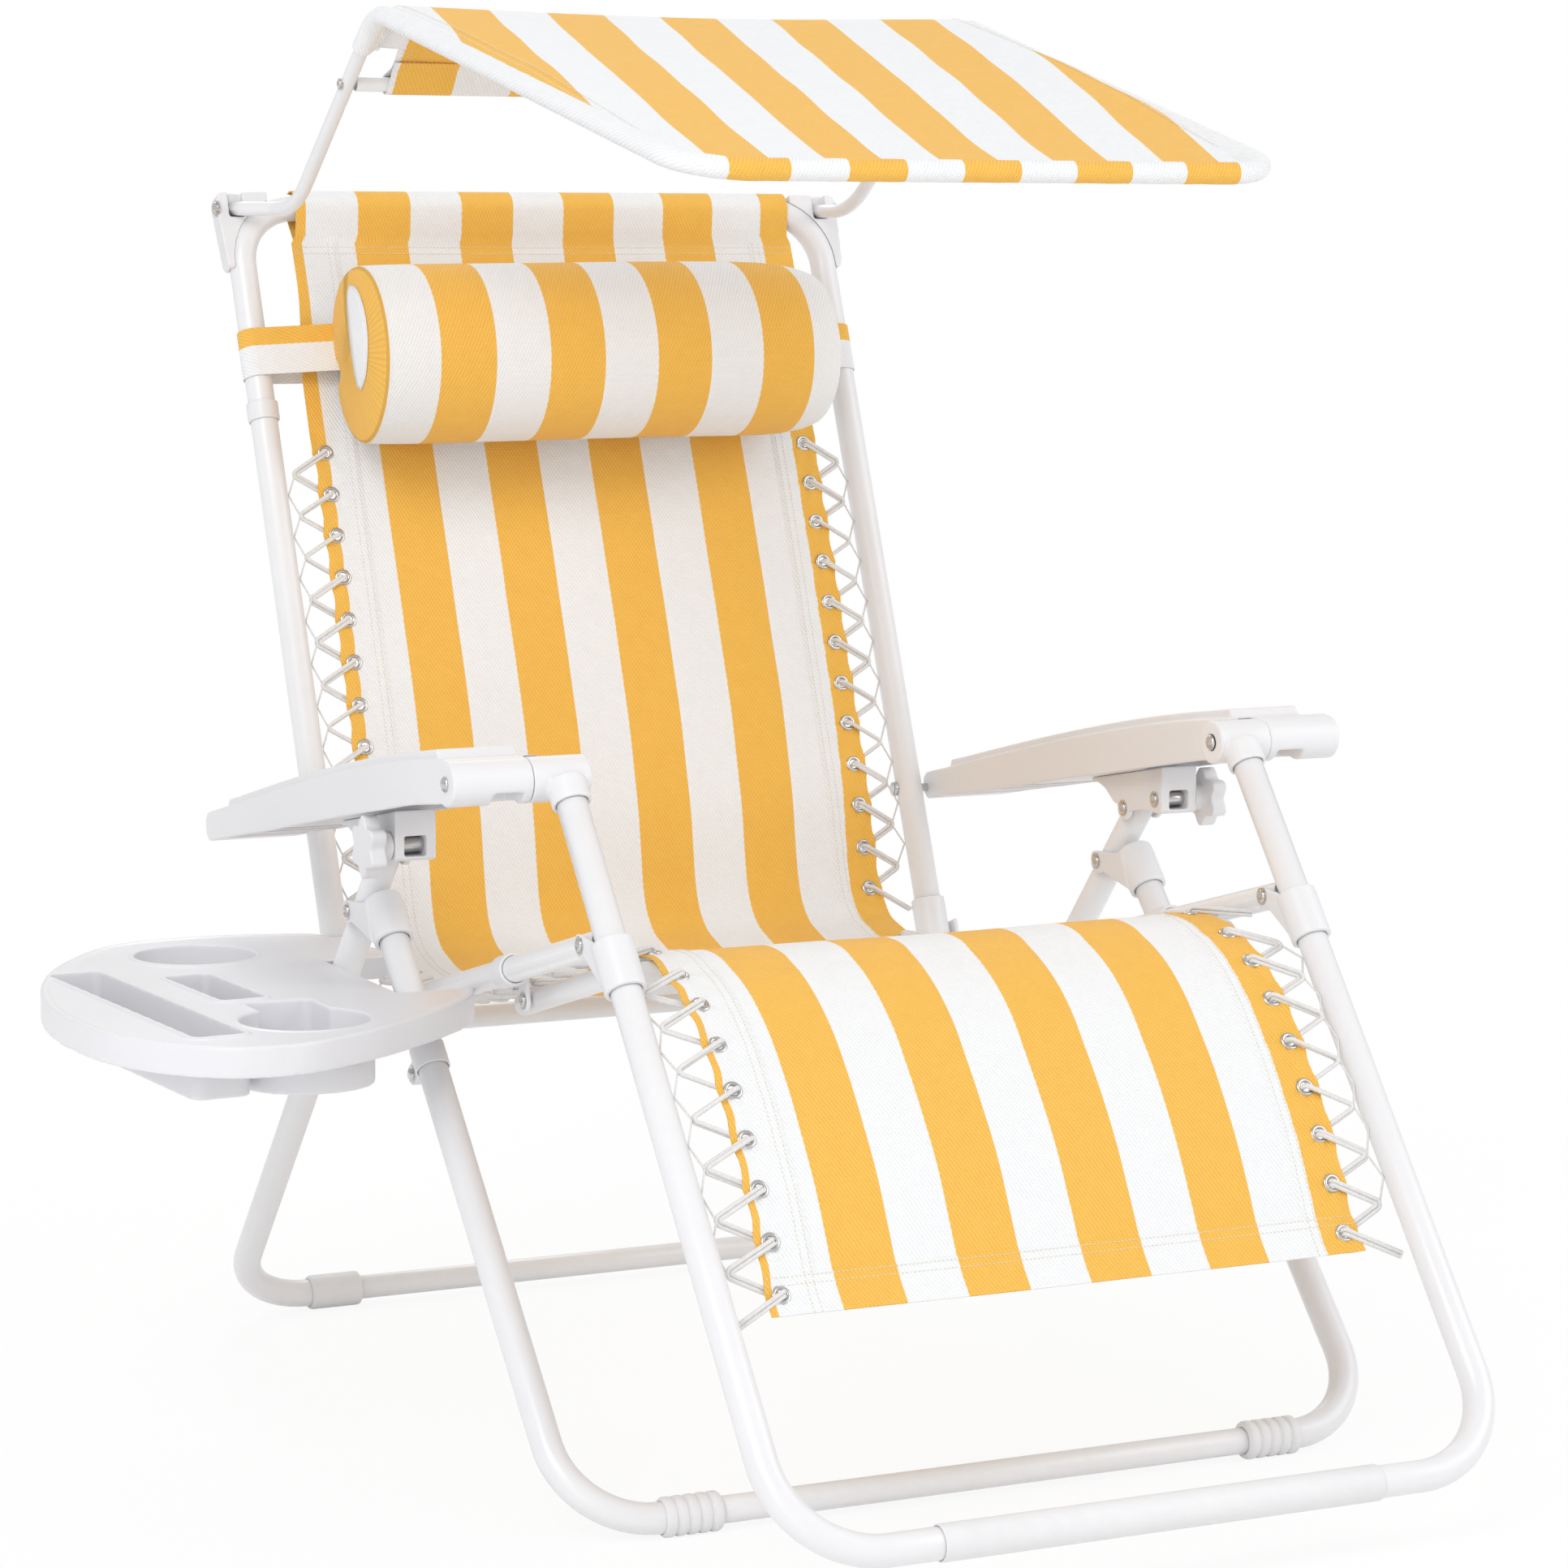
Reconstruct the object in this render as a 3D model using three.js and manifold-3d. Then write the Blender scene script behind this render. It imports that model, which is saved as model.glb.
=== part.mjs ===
// A folding reclining sun lounger with a sling seat, side tray, head pillow and tilting canopy.
// It faces -Y and stands on z = 0. Lengths are in millimetres and angles in degrees.
import * as THREE from 'three';
import { mergeVertices } from 'three/addons/utils/BufferGeometryUtils.js';
import Module from 'manifold-3d';

const wasm = await Module();
wasm.setup();

// Tubes and shared fits
const legTubeRadius = 12.7;
const barRadius = 11;
const kneeBarRadius = 9.5;
const canopyTubeRadius = 6.5;
const fitGap = 0.3;
const cutOverrun = 2;
const pinRadius = 4;
const pinHeadRadius = 7;
const pinHeadHeight = 3;

// Half widths, from the plane of symmetry to the tube axes
const frameHalfWidth = 312;
const railStagger = 8;
const legStagger = 54;
const backHalfWidth = frameHalfWidth - railStagger;
const legHalfWidth = frameHalfWidth + legStagger;

// Side layout: [y, z] of the pivots and of the straight runs of tube
const armPivot = [-50, 494];
const scissorPivot = [-2, 439];
const armFrontPivot = [-296, 583];
const armRearPivot = [293, 474];
const seatFrontPivot = [-374.2, 461];
const seatRearPivot = [221.6, 300.5];
const footTubeTop = [-311, 580];
const footBarPlace = [-725, 58];
const backBarPlace = [507.3, 1033];
const frontBarDistance = 447;
const frontLegSlope = 0.935;
const canopyPivot = [501, 1032];

// Floor frames
const floorSleeveRadius = 16;
const floorSleeveLength = 50;
const legBendRadius = 75;
const sleeveInsert = 22;
const footBendRadius = 80;
const footSleeveToTube = 121;
const footSleeveHalfLength = frameHalfWidth - footSleeveToTube;
const footSleeveRadius = 14.4;
const footSleeveBore = 13.15;
const footInsert = 40;
const backBendRadius = 58;
const seatBendRadius = 40;
const seatBarOverhang = 56;
const railSides = 10;
const floorFlatHeight = 0.9;

// Roundness of the solids
const tubeSides = 12;
const pinSides = 8;
const bendStepAngle = 22.5;
const tubeWall = 1.2;

// The radius of a faceted bore whose flats clear a round of this radius
const boreRadius = (radius) => (radius + fitGap) / Math.cos(Math.PI / tubeSides);
// The same for a pin that turns in its hole
const pinBore = (pinRadius + fitGap) / Math.cos(Math.PI / pinSides);

const white = { color: 0xf2f2f4, roughness: 0.35, metalness: 0.0 };
const whitePlastic = { color: 0xf4f4f6, roughness: 0.42, metalness: 0.0 };
const steel = { color: 0xb9b9bd, roughness: 0.25, metalness: 1.0 };
const stripe = { color: 0xf0b040, roughness: 0.9, metalness: 0.0 };
const cordWhite = { color: 0xe9e7e4, roughness: 0.8, metalness: 0.0 };

const lounger = new THREE.Group();

function addMesh(name, geometry, look) {
  const mesh = new THREE.Mesh(geometry, new THREE.MeshStandardMaterial(look));
  mesh.name = name;
  lounger.add(mesh);
  return mesh;
}

// Solids for joining and cutting
function toSolid(geometry) {
  const bare = geometry.index ? geometry.clone() : geometry;
  bare.deleteAttribute('normal');
  bare.deleteAttribute('uv');
  const merged = mergeVertices(bare, 1e-4);
  return new wasm.Manifold(new wasm.Mesh({
    numProp: 3,
    vertProperties: new Float32Array(merged.attributes.position.array),
    triVerts: new Uint32Array(merged.index.array),
  }));
}

function toGeometry(solid) {
  const mesh = solid.getMesh();
  const geometry = new THREE.BufferGeometry();
  geometry.setAttribute('position', new THREE.BufferAttribute(mesh.vertProperties, 3));
  geometry.setIndex(new THREE.BufferAttribute(mesh.triVerts, 1));
  return geometry;
}

function join(geometries) {
  return geometries.map(toSolid).reduce((sum, next) => sum.add(next));
}

function cutFrom(solid, geometries) {
  return geometries.map(toSolid).reduce((rest, next) => rest.subtract(next), solid);
}

// Small vector helpers for the side layout, where a point is [y, z]
const sidePoint = (x, [y, z]) => new THREE.Vector3(x, y, z);
const plus = (p, d, t) => [p[0] + d[0] * t, p[1] + d[1] * t];
const minus = (p, q) => [p[0] - q[0], p[1] - q[1]];
const length2 = (p) => Math.hypot(p[0], p[1]);
const unit = (p) => [p[0] / length2(p), p[1] / length2(p)];
const dot = (p, q) => p[0] * q[0] + p[1] * q[1];

// A side outline in [y, z], pulled out along X from x0 to x1
function sideExtrude(shape, x0, x1, options = {}) {
  const geometry = new THREE.ExtrudeGeometry(shape, {
    depth: Math.abs(x1 - x0), bevelEnabled: false, curveSegments: 6, ...options,
  });
  const basis = new THREE.Matrix4().makeBasis(
    new THREE.Vector3(0, 1, 0), new THREE.Vector3(0, 0, 1), new THREE.Vector3(1, 0, 0));
  basis.setPosition(Math.min(x0, x1), 0, 0);
  return geometry.applyMatrix4(basis);
}

function shapeOf(points) {
  return new THREE.Shape(points.map(([a, b]) => new THREE.Vector2(a, b)));
}

// A cylinder along X at a side point
function crossPin([y, z], radius, x0, x1, sides = pinSides) {
  const geometry = new THREE.CylinderGeometry(radius, radius, Math.abs(x1 - x0), sides);
  geometry.rotateZ(Math.PI / 2);
  geometry.translate((x0 + x1) / 2, y, z);
  return geometry;
}

// A cylinder between two points
function rod(from, to, radius, sides = tubeSides) {
  const axis = to.clone().sub(from);
  const geometry = new THREE.CylinderGeometry(radius, radius, axis.length(), sides);
  const turn = new THREE.Quaternion().setFromUnitVectors(new THREE.Vector3(0, 1, 0), axis.clone().normalize());
  geometry.applyQuaternion(turn);
  const middle = from.clone().add(to).multiplyScalar(1 / 2);
  geometry.translate(middle.x, middle.y, middle.z);
  return geometry;
}

// A path of straight runs joined by arcs, with rings only where the tube needs them
class BentPath extends THREE.Curve {
  constructor(corners, radii) {
    super();
    this.stations = [];
    this.tangents = [];
    corners.forEach((corner, i) => {
      const before = corners[i - 1];
      const after = corners[i + 1];
      if (!before || !after) {
        this.stations.push(corner.clone());
        this.tangents.push(before ? corner.clone().sub(before).normalize() : after.clone().sub(corner).normalize());
        return;
      }
      const arriving = corner.clone().sub(before).normalize();
      const leaving = after.clone().sub(corner).normalize();
      const turn = arriving.angleTo(leaving);
      const radius = Array.isArray(radii) ? radii[i - 1] : radii;
      const setback = radius * Math.tan(turn / 2);
      const steps = Math.ceil((turn * 180) / Math.PI / bendStepAngle - 0.1);
      const start = corner.clone().addScaledVector(arriving, -setback);
      const inward = leaving.clone().addScaledVector(arriving, -leaving.dot(arriving)).normalize();
      const centre = start.clone().addScaledVector(inward, radius);
      for (let k = 0; k <= steps; k += 1) {
        const angle = (turn * k) / steps;
        this.stations.push(centre.clone()
          .addScaledVector(inward, -radius * Math.cos(angle))
          .addScaledVector(arriving, radius * Math.sin(angle)));
        this.tangents.push(arriving.clone().multiplyScalar(Math.cos(angle)).addScaledVector(inward, Math.sin(angle)));
      }
    });
  }

  getPoint(t) {
    return this.stations[Math.round(t * (this.stations.length - 1))].clone();
  }

  getPointAt(u) {
    return this.getPoint(u);
  }

  getTangentAt(u) {
    return this.tangents[Math.round(u * (this.stations.length - 1))].clone();
  }
}

// A slack line that passes through each of its points
class CordPath extends THREE.Curve {
  constructor(points) {
    super();
    this.stations = points;
    this.tangents = points.map((point, i) => (
      points[Math.min(i + 1, points.length - 1)].clone().sub(points[Math.max(i - 1, 0)]).normalize()));
  }

  getPoint(t) {
    return this.stations[Math.round(t * (this.stations.length - 1))].clone();
  }

  getPointAt(u) {
    return this.getPoint(u);
  }

  getTangentAt(u) {
    return this.tangents[Math.round(u * (this.stations.length - 1))].clone();
  }
}

function sweep(path, radius, wall, sides) {
  const ring = new THREE.Shape();
  ring.absarc(0, 0, radius, 0, 2 * Math.PI);
  if (wall) {
    const bore = new THREE.Path();
    bore.absarc(0, 0, radius - wall, 0, 2 * Math.PI, true);
    ring.holes.push(bore);
  }
  return new THREE.ExtrudeGeometry(ring, {
    steps: path.stations.length - 1, extrudePath: path, bevelEnabled: false, curveSegments: sides / 2,
  });
}

function bentTube(corners, bendRadius, radius, wall = tubeWall, sides = tubeSides) {
  return sweep(new BentPath(corners, bendRadius), radius, wall, sides);
}

// The same path filled in, for cutting room for a tube
function bentRod(corners, bendRadius, radius) {
  return sweep(new BentPath(corners, bendRadius), radius, 0, tubeSides);
}

// A rivet with a domed head at each end, along X
function rivet(place, x0, x1, radius = pinRadius) {
  return join([
    crossPin(place, radius, x0, x1),
    crossPin(place, pinHeadRadius, x0 - pinHeadHeight / 2, x0 + pinHeadHeight / 2),
    crossPin(place, pinHeadRadius, x1 - pinHeadHeight / 2, x1 + pinHeadHeight / 2),
  ]);
}

// Rear leg frame: two bent tubes, a crossbar and two plain sleeves
const barHeight = floorSleeveRadius - floorFlatHeight;
const rearDown = unit([0.873, -1]);
const rearBarPlace = plus(armPivot, rearDown, (armPivot[1] - barHeight) / -rearDown[1]);
const rearTopOverhang = 12;
const frontBarPlace = [-frontBarDistance, barHeight];
const frontUp = unit([frontLegSlope, 1]);
const scissorFoot = plus(frontBarPlace, frontUp, dot(minus(scissorPivot, frontBarPlace), frontUp));
const collarStandoff = 15.5;
const collarWall = 4.3;
const collarLength = 42;
const frontTubeStart = collarStandoff + collarWall;
const sleeveInnerEnd = legHalfWidth - legBendRadius - floorSleeveLength;
const sleeveOuterEnd = legHalfWidth - legBendRadius;

function floorSleeve(side, place, ribbed) {
  const ribCount = 5;
  const ribShare = 0.9;
  const points = [];
  const outerStart = sleeveOuterEnd - fitGap;
  const stepPlace = sleeveOuterEnd - sleeveInsert - cutOverrun;
  points.push([boreRadius(legTubeRadius), outerStart], [floorSleeveRadius * ribShare, outerStart]);
  if (ribbed) {
    for (let i = 0; i < ribCount; i += 1) {
      const pitch = floorSleeveLength / ribCount;
      const from = outerStart - i * pitch;
      points.push([floorSleeveRadius, from - pitch / 4], [floorSleeveRadius, from - (pitch * 3) / 4]);
      points.push([floorSleeveRadius * ribShare, from - pitch]);
    }
  } else {
    points.push([floorSleeveRadius, outerStart - pinHeadHeight], [floorSleeveRadius, sleeveInnerEnd + pinHeadHeight]);
    points.push([floorSleeveRadius * ribShare, sleeveInnerEnd]);
  }
  points.push([boreRadius(barRadius), points[points.length - 1][1]], [boreRadius(barRadius), stepPlace]);
  points.push([boreRadius(legTubeRadius), stepPlace], [boreRadius(legTubeRadius), outerStart]);
  const lathe = new THREE.LatheGeometry(points.reverse().map(([r, a]) => new THREE.Vector2(r, a)), tubeSides);
  lathe.rotateZ(side > 0 ? -Math.PI / 2 : Math.PI / 2);
  lathe.translate(0, place[0], place[1]);
  const block = new THREE.BoxGeometry(2 * legHalfWidth, 4 * floorSleeveRadius, 2 * floorSleeveRadius);
  block.translate(0, place[0], -floorSleeveRadius);
  return toGeometry(cutFrom(toSolid(lathe), [block]));
}

for (const [side, label] of [[-1, 'left'], [1, 'right']]) {
  const x = side * legHalfWidth;
  const rearTop = plus(armPivot, rearDown, -rearTopOverhang);
  const rearTube = bentTube(
    [sidePoint(x, rearTop), sidePoint(x, rearBarPlace), sidePoint(side * (sleeveOuterEnd - sleeveInsert), rearBarPlace)],
    legBendRadius, legTubeRadius);
  const rearHoles = [armPivot, scissorPivot].map((place) => crossPin(
    place, pinBore, x - legTubeRadius - cutOverrun, x + legTubeRadius + cutOverrun));
  addMesh(`rear_leg_${label}`, toGeometry(cutFrom(toSolid(rearTube), rearHoles)), white);
  addMesh(`rear_sleeve_${label}`, floorSleeve(side, rearBarPlace, false), whitePlastic);

  const frontTop = plus(scissorFoot, frontUp, -frontTubeStart - fitGap);
  const frontTube = bentTube(
    [sidePoint(x, frontTop), sidePoint(x, frontBarPlace), sidePoint(side * (sleeveOuterEnd - sleeveInsert), frontBarPlace)],
    legBendRadius, legTubeRadius);
  addMesh(`front_leg_${label}`, frontTube, white);
  addMesh(`front_sleeve_${label}`, floorSleeve(side, frontBarPlace, true), whitePlastic);
}
for (const [label, place] of [['rear', rearBarPlace], ['front', frontBarPlace]]) {
  const reach = sleeveOuterEnd - sleeveInsert - 2 * cutOverrun - fitGap;
  addMesh(`${label}_crossbar`, crossPin(place, barRadius, -reach, reach), white);
}

// A moulded collar on a tube end with two ears that straddle the tube that it pivots on.
// origin is the foot of the pivot on the tube's axis and down runs along the tube from there.
function clevis({ x, origin, down, pivot, from, to, closedEnd, earX, gap, earWall, earRadius, relief, wall }) {
  const sleeveRadius = legTubeRadius + wall;
  const away = unit(minus(pivot, origin));
  const earSpan = [from + earRadius / 2, to - earRadius / 3];
  const outline = [];
  const arcSteps = 6;
  const earTurn = Math.atan2(away[1], away[0]);
  for (let i = 0; i <= arcSteps; i += 1) {
    const angle = earTurn - Math.PI / 2 + (Math.PI * i) / arcSteps;
    outline.push([pivot[0] + earRadius * Math.cos(angle), pivot[1] + earRadius * Math.sin(angle)]);
  }
  const topOnSleeve = plus(plus(origin, down, earSpan[0]), away, -sleeveRadius / 3);
  const lowOnSleeve = plus(plus(origin, down, earSpan[1]), away, sleeveRadius / 3);
  const crossing = (down[0] * away[1] - down[1] * away[0]) > 0;
  const ends = crossing ? [topOnSleeve, lowOnSleeve] : [lowOnSleeve, topOnSleeve];
  const shape = shapeOf([...outline, ...ends]);
  const pieces = [
    rod(sidePoint(x, plus(origin, down, from)), sidePoint(x, plus(origin, down, to)), sleeveRadius),
    sideExtrude(shape, earX - gap - earWall, earX - gap),
    sideExtrude(shape, earX + gap, earX + gap + earWall),
  ];
  const boreFrom = closedEnd ? from + wall : 2 * from - to;
  let solid = join(pieces);
  solid = cutFrom(solid, [
    rod(sidePoint(x, plus(origin, down, boreFrom)), sidePoint(x, plus(origin, down, to + cutOverrun)),
      boreRadius(legTubeRadius)),
    crossPin(pivot, relief, earX - gap, earX + gap, 2 * tubeSides),
  ]);
  return solid.add(rivet(pivot, earX - gap - earWall, earX + gap + earWall));
}

const earWall = 4.8;
const legEarGap = legTubeRadius + 2 * fitGap;
const earRadius = 11.5;
const legEarPlaceShare = 0.285;
const legEarReach = 24;
const legEarRadius = 9;
const legEarLength = 24;

for (const [side, label] of [[-1, 'left'], [1, 'right']]) {
  const x = side * legHalfWidth;
  const frontDown = [-frontUp[0], -frontUp[1]];
  addMesh(`leg_collar_${label}`, toGeometry(clevis({
    x, origin: scissorFoot, down: frontDown, pivot: scissorPivot,
    from: collarStandoff, to: collarStandoff + collarLength, closedEnd: true,
    earX: x, gap: legEarGap, earWall, earRadius, relief: earRadius, wall: collarWall,
  })), whitePlastic);

  // A clamp lower on the front leg, with an ear and a cross bolt on its rear side
  const legRun = length2(minus(scissorFoot, frontBarPlace));
  const earFoot = plus(scissorFoot, frontDown, legRun * legEarPlaceShare);
  const rearward = [-frontDown[1], frontDown[0]].map((value) => Math.abs(value));
  const backNormal = [rearward[0], -rearward[1]];
  const bolt = plus(earFoot, backNormal, legEarReach);
  const clampHalf = legEarLength / 2;
  const clamp = join([
    rod(sidePoint(x, plus(earFoot, frontDown, -clampHalf)), sidePoint(x, plus(earFoot, frontDown, clampHalf)),
      legTubeRadius + collarWall / 2),
    crossPin(bolt, legEarRadius, x - legEarRadius, x + legEarRadius),
    sideExtrude(shapeOf([
      plus(earFoot, frontDown, -legEarRadius), plus(bolt, frontDown, -legEarRadius),
      plus(bolt, frontDown, legEarRadius), plus(earFoot, frontDown, legEarRadius),
    ].reverse()), x - legEarRadius, x + legEarRadius),
  ]);
  const clampBored = cutFrom(clamp, [rod(
    sidePoint(x, plus(earFoot, frontDown, -legEarLength)), sidePoint(x, plus(earFoot, frontDown, legEarLength)),
    boreRadius(legTubeRadius))]);
  addMesh(`leg_ear_${label}`, toGeometry(clampBored.add(
    rivet(bolt, x - legEarRadius, x + legEarRadius, pinRadius))), whitePlastic);
}

// Arms: a hollow moulded rest with ribs below, a raised pad and a round grip across its front
const armToRail = 13;
const armToLeg = 43;
const armInner = frameHalfWidth + armToRail;
const armOuter = legHalfWidth + armToLeg;
const armWall = 4;
const padInset = 8;
const padRise = 7;
const gripRadius = 18.5;
const capToRail = [21, 28.3];
const gripInner = frameHalfWidth + capToRail[1];
const gripOuter = armOuter;
const capInner = frameHalfWidth - capToRail[0];
const gripNotchWidth = 26;
const gripNotchStart = gripInner + 7.7;
const gripNotchDepthShare = 0.55;
const armLength = armRearPivot[0] - armFrontPivot[0];
const armRearOverhang = 17;
// Shares of the arm's length: along from the front pivot, then the top and the bottom above the pivot line
const armEdgeShares = [
  [0, 0.031, -0.031], [0.08, 0.04, -0.018], [0.2, 0.045, -0.02], [0.33, 0.047, -0.018],
  [0.46, 0.046, -0.019], [0.6, 0.043, -0.018], [0.73, 0.038, -0.021], [0.87, 0.032, -0.018], [1, 0.025, -0.019],
];
const capClearance = 3;
const gripHeadRadius = 10.5;
const lockPlace = [-106, 508.5];
const lockRearPlace = -84;
const lockFrontPlace = -118.5;
const lockLowPlace = 496;
const bracketRear = [8, 520];
const bracketWeb = 5;
const bracketFootRadius = 11;
const lockWindow = [19, 22, 17];
const lockBarrelRadius = 6.5;
const knobRadius = 26.5;
const knobThickness = 14;
const knobLobes = 6;
const knobGap = 11;

const armAlong = unit(minus(armRearPivot, armFrontPivot));
const armUp = [-armAlong[1], armAlong[0]];
const armPoint = (alongShare, upShare) => plus(
  plus(armFrontPivot, armAlong, alongShare * armLength), armUp, upShare * armLength);
const armRearShare = 1 + armRearOverhang / armLength;

// The height of the arm's underside at a given y, read off its edge shares
function armUndersideAt(y) {
  const low = armEdgeShares.map(([along, , bottom]) => armPoint(along, bottom));
  for (let i = 1; i < low.length; i += 1) {
    if (y <= low[i][0]) {
      const t = (y - low[i - 1][0]) / (low[i][0] - low[i - 1][0]);
      return low[i - 1][1] + t * (low[i][1] - low[i - 1][1]);
    }
  }
  return low[low.length - 1][1];
}

function armOutline(inset, lift, fromShare, toShare) {
  const tops = armEdgeShares.filter(([along]) => along >= fromShare && along <= toShare)
    .map(([along, top]) => plus(armPoint(along, top), armUp, lift - inset));
  const lows = armEdgeShares.filter(([along]) => along >= fromShare && along <= toShare)
    .map(([along, , low]) => plus(armPoint(along, low), armUp, inset));
  return { tops, lows };
}

for (const [side, label] of [[-1, 'left'], [1, 'right']]) {
  const span = (a, b) => [side * a, side * b];
  const { tops, lows } = armOutline(0, 0, 0, 1);
  const rearTop = armPoint(armRearShare, armEdgeShares[armEdgeShares.length - 1][1]);
  const rearLow = armPoint(armRearShare, armEdgeShares[armEdgeShares.length - 1][2]);
  const body = sideExtrude(shapeOf([...lows, rearLow, rearTop, ...tops.slice().reverse()]), ...span(armInner, armOuter));
  const padShares = armEdgeShares.filter(([along]) => along > 0.05 && along < 0.95);
  const padTops = padShares.map(([along, top]) => plus(armPoint(along, top), armUp, padRise));
  const padLows = padShares.map(([along, top]) => plus(armPoint(along, top), armUp, -padRise));
  const pad = sideExtrude(
    shapeOf([...padLows, ...padTops.slice().reverse()]), ...span(armInner + padInset, armOuter - padInset));
  const grip = crossPin(armFrontPivot, gripRadius, ...span(gripInner, gripOuter), 2 * tubeSides);
  // Pockets in the underside leave cross ribs between them
  const pocketEdges = [[0.12, 0.36], [0.66, 0.8], [0.83, 0.94]];
  const pockets = pocketEdges.map(([from, to]) => {
    const roof = [from, (from + to) / 2, to].map((along) => {
      const near = armEdgeShares.reduce((best, row) => (
        Math.abs(row[0] - along) < Math.abs(best[0] - along) ? row : best));
      return plus(armPoint(along, near[1]), armUp, -armWall);
    });
    const floor = [from, to].map((along) => armPoint(along, -armWall / gripRadius));
    return sideExtrude(
      shapeOf([...floor, ...roof.slice().reverse()]), ...span(armInner + armWall, armOuter - armWall));
  });
  const cuts = [
    ...pockets,
    crossPin(armFrontPivot, gripRadius + capClearance, ...span(capInner, gripInner), 2 * tubeSides),
    sideExtrude(shapeOf([
      plus(armFrontPivot, [-1, 0], gripRadius + capClearance), plus(armFrontPivot, [-1, 1], gripRadius + capClearance),
      plus(armFrontPivot, [0, 1], gripRadius + capClearance), armFrontPivot,
    ].reverse()), ...span(capInner, gripInner)),
    crossPin(armRearPivot, pinBore, ...span(armInner - cutOverrun, armInner + armWall * 2)),
    crossPin(armFrontPivot, pinBore, ...span(capInner, gripOuter + cutOverrun)),
    sideExtrude(shapeOf([
      plus(armFrontPivot, [-1, -1], gripRadius + cutOverrun),
      plus(plus(armFrontPivot, [1, 0], gripRadius + cutOverrun), [0, -1], gripRadius + cutOverrun),
      plus(plus(armFrontPivot, [1, 0], gripRadius + cutOverrun), [0, -1], gripRadius * gripNotchDepthShare),
      plus(plus(armFrontPivot, [-1, 0], gripRadius + cutOverrun), [0, -1], gripRadius * gripNotchDepthShare),
    ]), ...span(gripNotchStart, gripNotchStart + gripNotchWidth)),
  ];
  addMesh(`arm_${label}`, toGeometry(cutFrom(join([body, pad, grip]), cuts)), whitePlastic);

  // The bracket under the arm: two cheeks on the leg's top, a web and the lock's housing
  const x = side * legHalfWidth;
  const cheekTop = (y) => [y, armUndersideAt(y) - fitGap];
  const lockRear = lockRearPlace;
  const lockFront = lockFrontPlace;
  const lockLow = lockLowPlace;
  const footArc = [];
  for (let i = 0; i <= 4; i += 1) {
    const angle = Math.PI * (1 + i / 4 + 0.05);
    footArc.push([armPivot[0] + bracketFootRadius * Math.cos(angle), armPivot[1] + bracketFootRadius * Math.sin(angle)]);
  }
  const cheek = shapeOf([
    ...footArc, [bracketRear[0], cheekTop(bracketRear[0])[1]], cheekTop(armPivot[0]),
    cheekTop(lockRear), [lockRear, lockLow],
  ]);
  const webLow = (y) => [y, armUndersideAt(y) - bracketWeb];
  const web = shapeOf([webLow(bracketRear[0]), cheekTop(bracketRear[0]), cheekTop(armPivot[0]),
    cheekTop(lockFront), webLow(lockFront), webLow(armPivot[0])]);
  const housing = shapeOf([[lockRear, lockLow], cheekTop(lockRear), cheekTop(lockFront), [lockFront, lockLow]]);
  const inner = legHalfWidth - legEarGap - earWall;
  const outer = legHalfWidth + legEarGap + earWall;
  let bracket = join([
    sideExtrude(cheek, ...span(inner, inner + earWall)),
    sideExtrude(cheek, ...span(outer - earWall, outer)),
    sideExtrude(web, ...span(inner, outer)),
    sideExtrude(housing, ...span(inner, outer)),
  ]);
  const windowBox = new THREE.BoxGeometry(...lockWindow);
  windowBox.translate(x, lockFront + lockWindow[1] / 2 - cutOverrun, lockPlace[1]);
  bracket = cutFrom(bracket, [
    windowBox,
    crossPin(lockPlace, pinBore, ...span(inner - cutOverrun, outer + cutOverrun)),
  ]);
  bracket = bracket.add(rivet(armPivot, ...span(inner, outer)));
  addMesh(`arm_bracket_${label}`, toGeometry(bracket), whitePlastic);

  const knobStart = outer + knobGap;
  const barrel = join([
    crossPin(lockPlace, pinRadius, ...span(inner - fitGap - pinHeadHeight / 2, knobStart + knobThickness / 2)),
    crossPin(lockPlace, pinHeadRadius, ...span(inner - fitGap - pinHeadHeight, inner - fitGap)),
    crossPin(lockPlace, lockBarrelRadius,
      x - lockWindow[0] / 2 + fitGap, x + lockWindow[0] / 2 - fitGap),
  ]);
  addMesh(`lock_bolt_${label}`, toGeometry(barrel), steel);

  const star = [];
  const starSteps = knobLobes * 4;
  const lobeDepthShare = 0.13;
  for (let i = 0; i < starSteps; i += 1) {
    const angle = (2 * Math.PI * i) / starSteps;
    const reach = knobRadius * (1 - lobeDepthShare * (1 + Math.cos(knobLobes * angle)));
    star.push([lockPlace[0] + reach * Math.cos(angle), lockPlace[1] + reach * Math.sin(angle)]);
  }
  const knob = join([
    sideExtrude(shapeOf(star), ...span(knobStart, knobStart + knobThickness)),
    crossPin(lockPlace, knobRadius / 2, ...span(outer + fitGap, knobStart + cutOverrun)),
  ]);
  addMesh(`lock_knob_${label}`, toGeometry(cutFrom(knob, [
    crossPin(lockPlace, pinBore, ...span(outer, knobStart + knobThickness / 2 + fitGap))])), whitePlastic);

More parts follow.
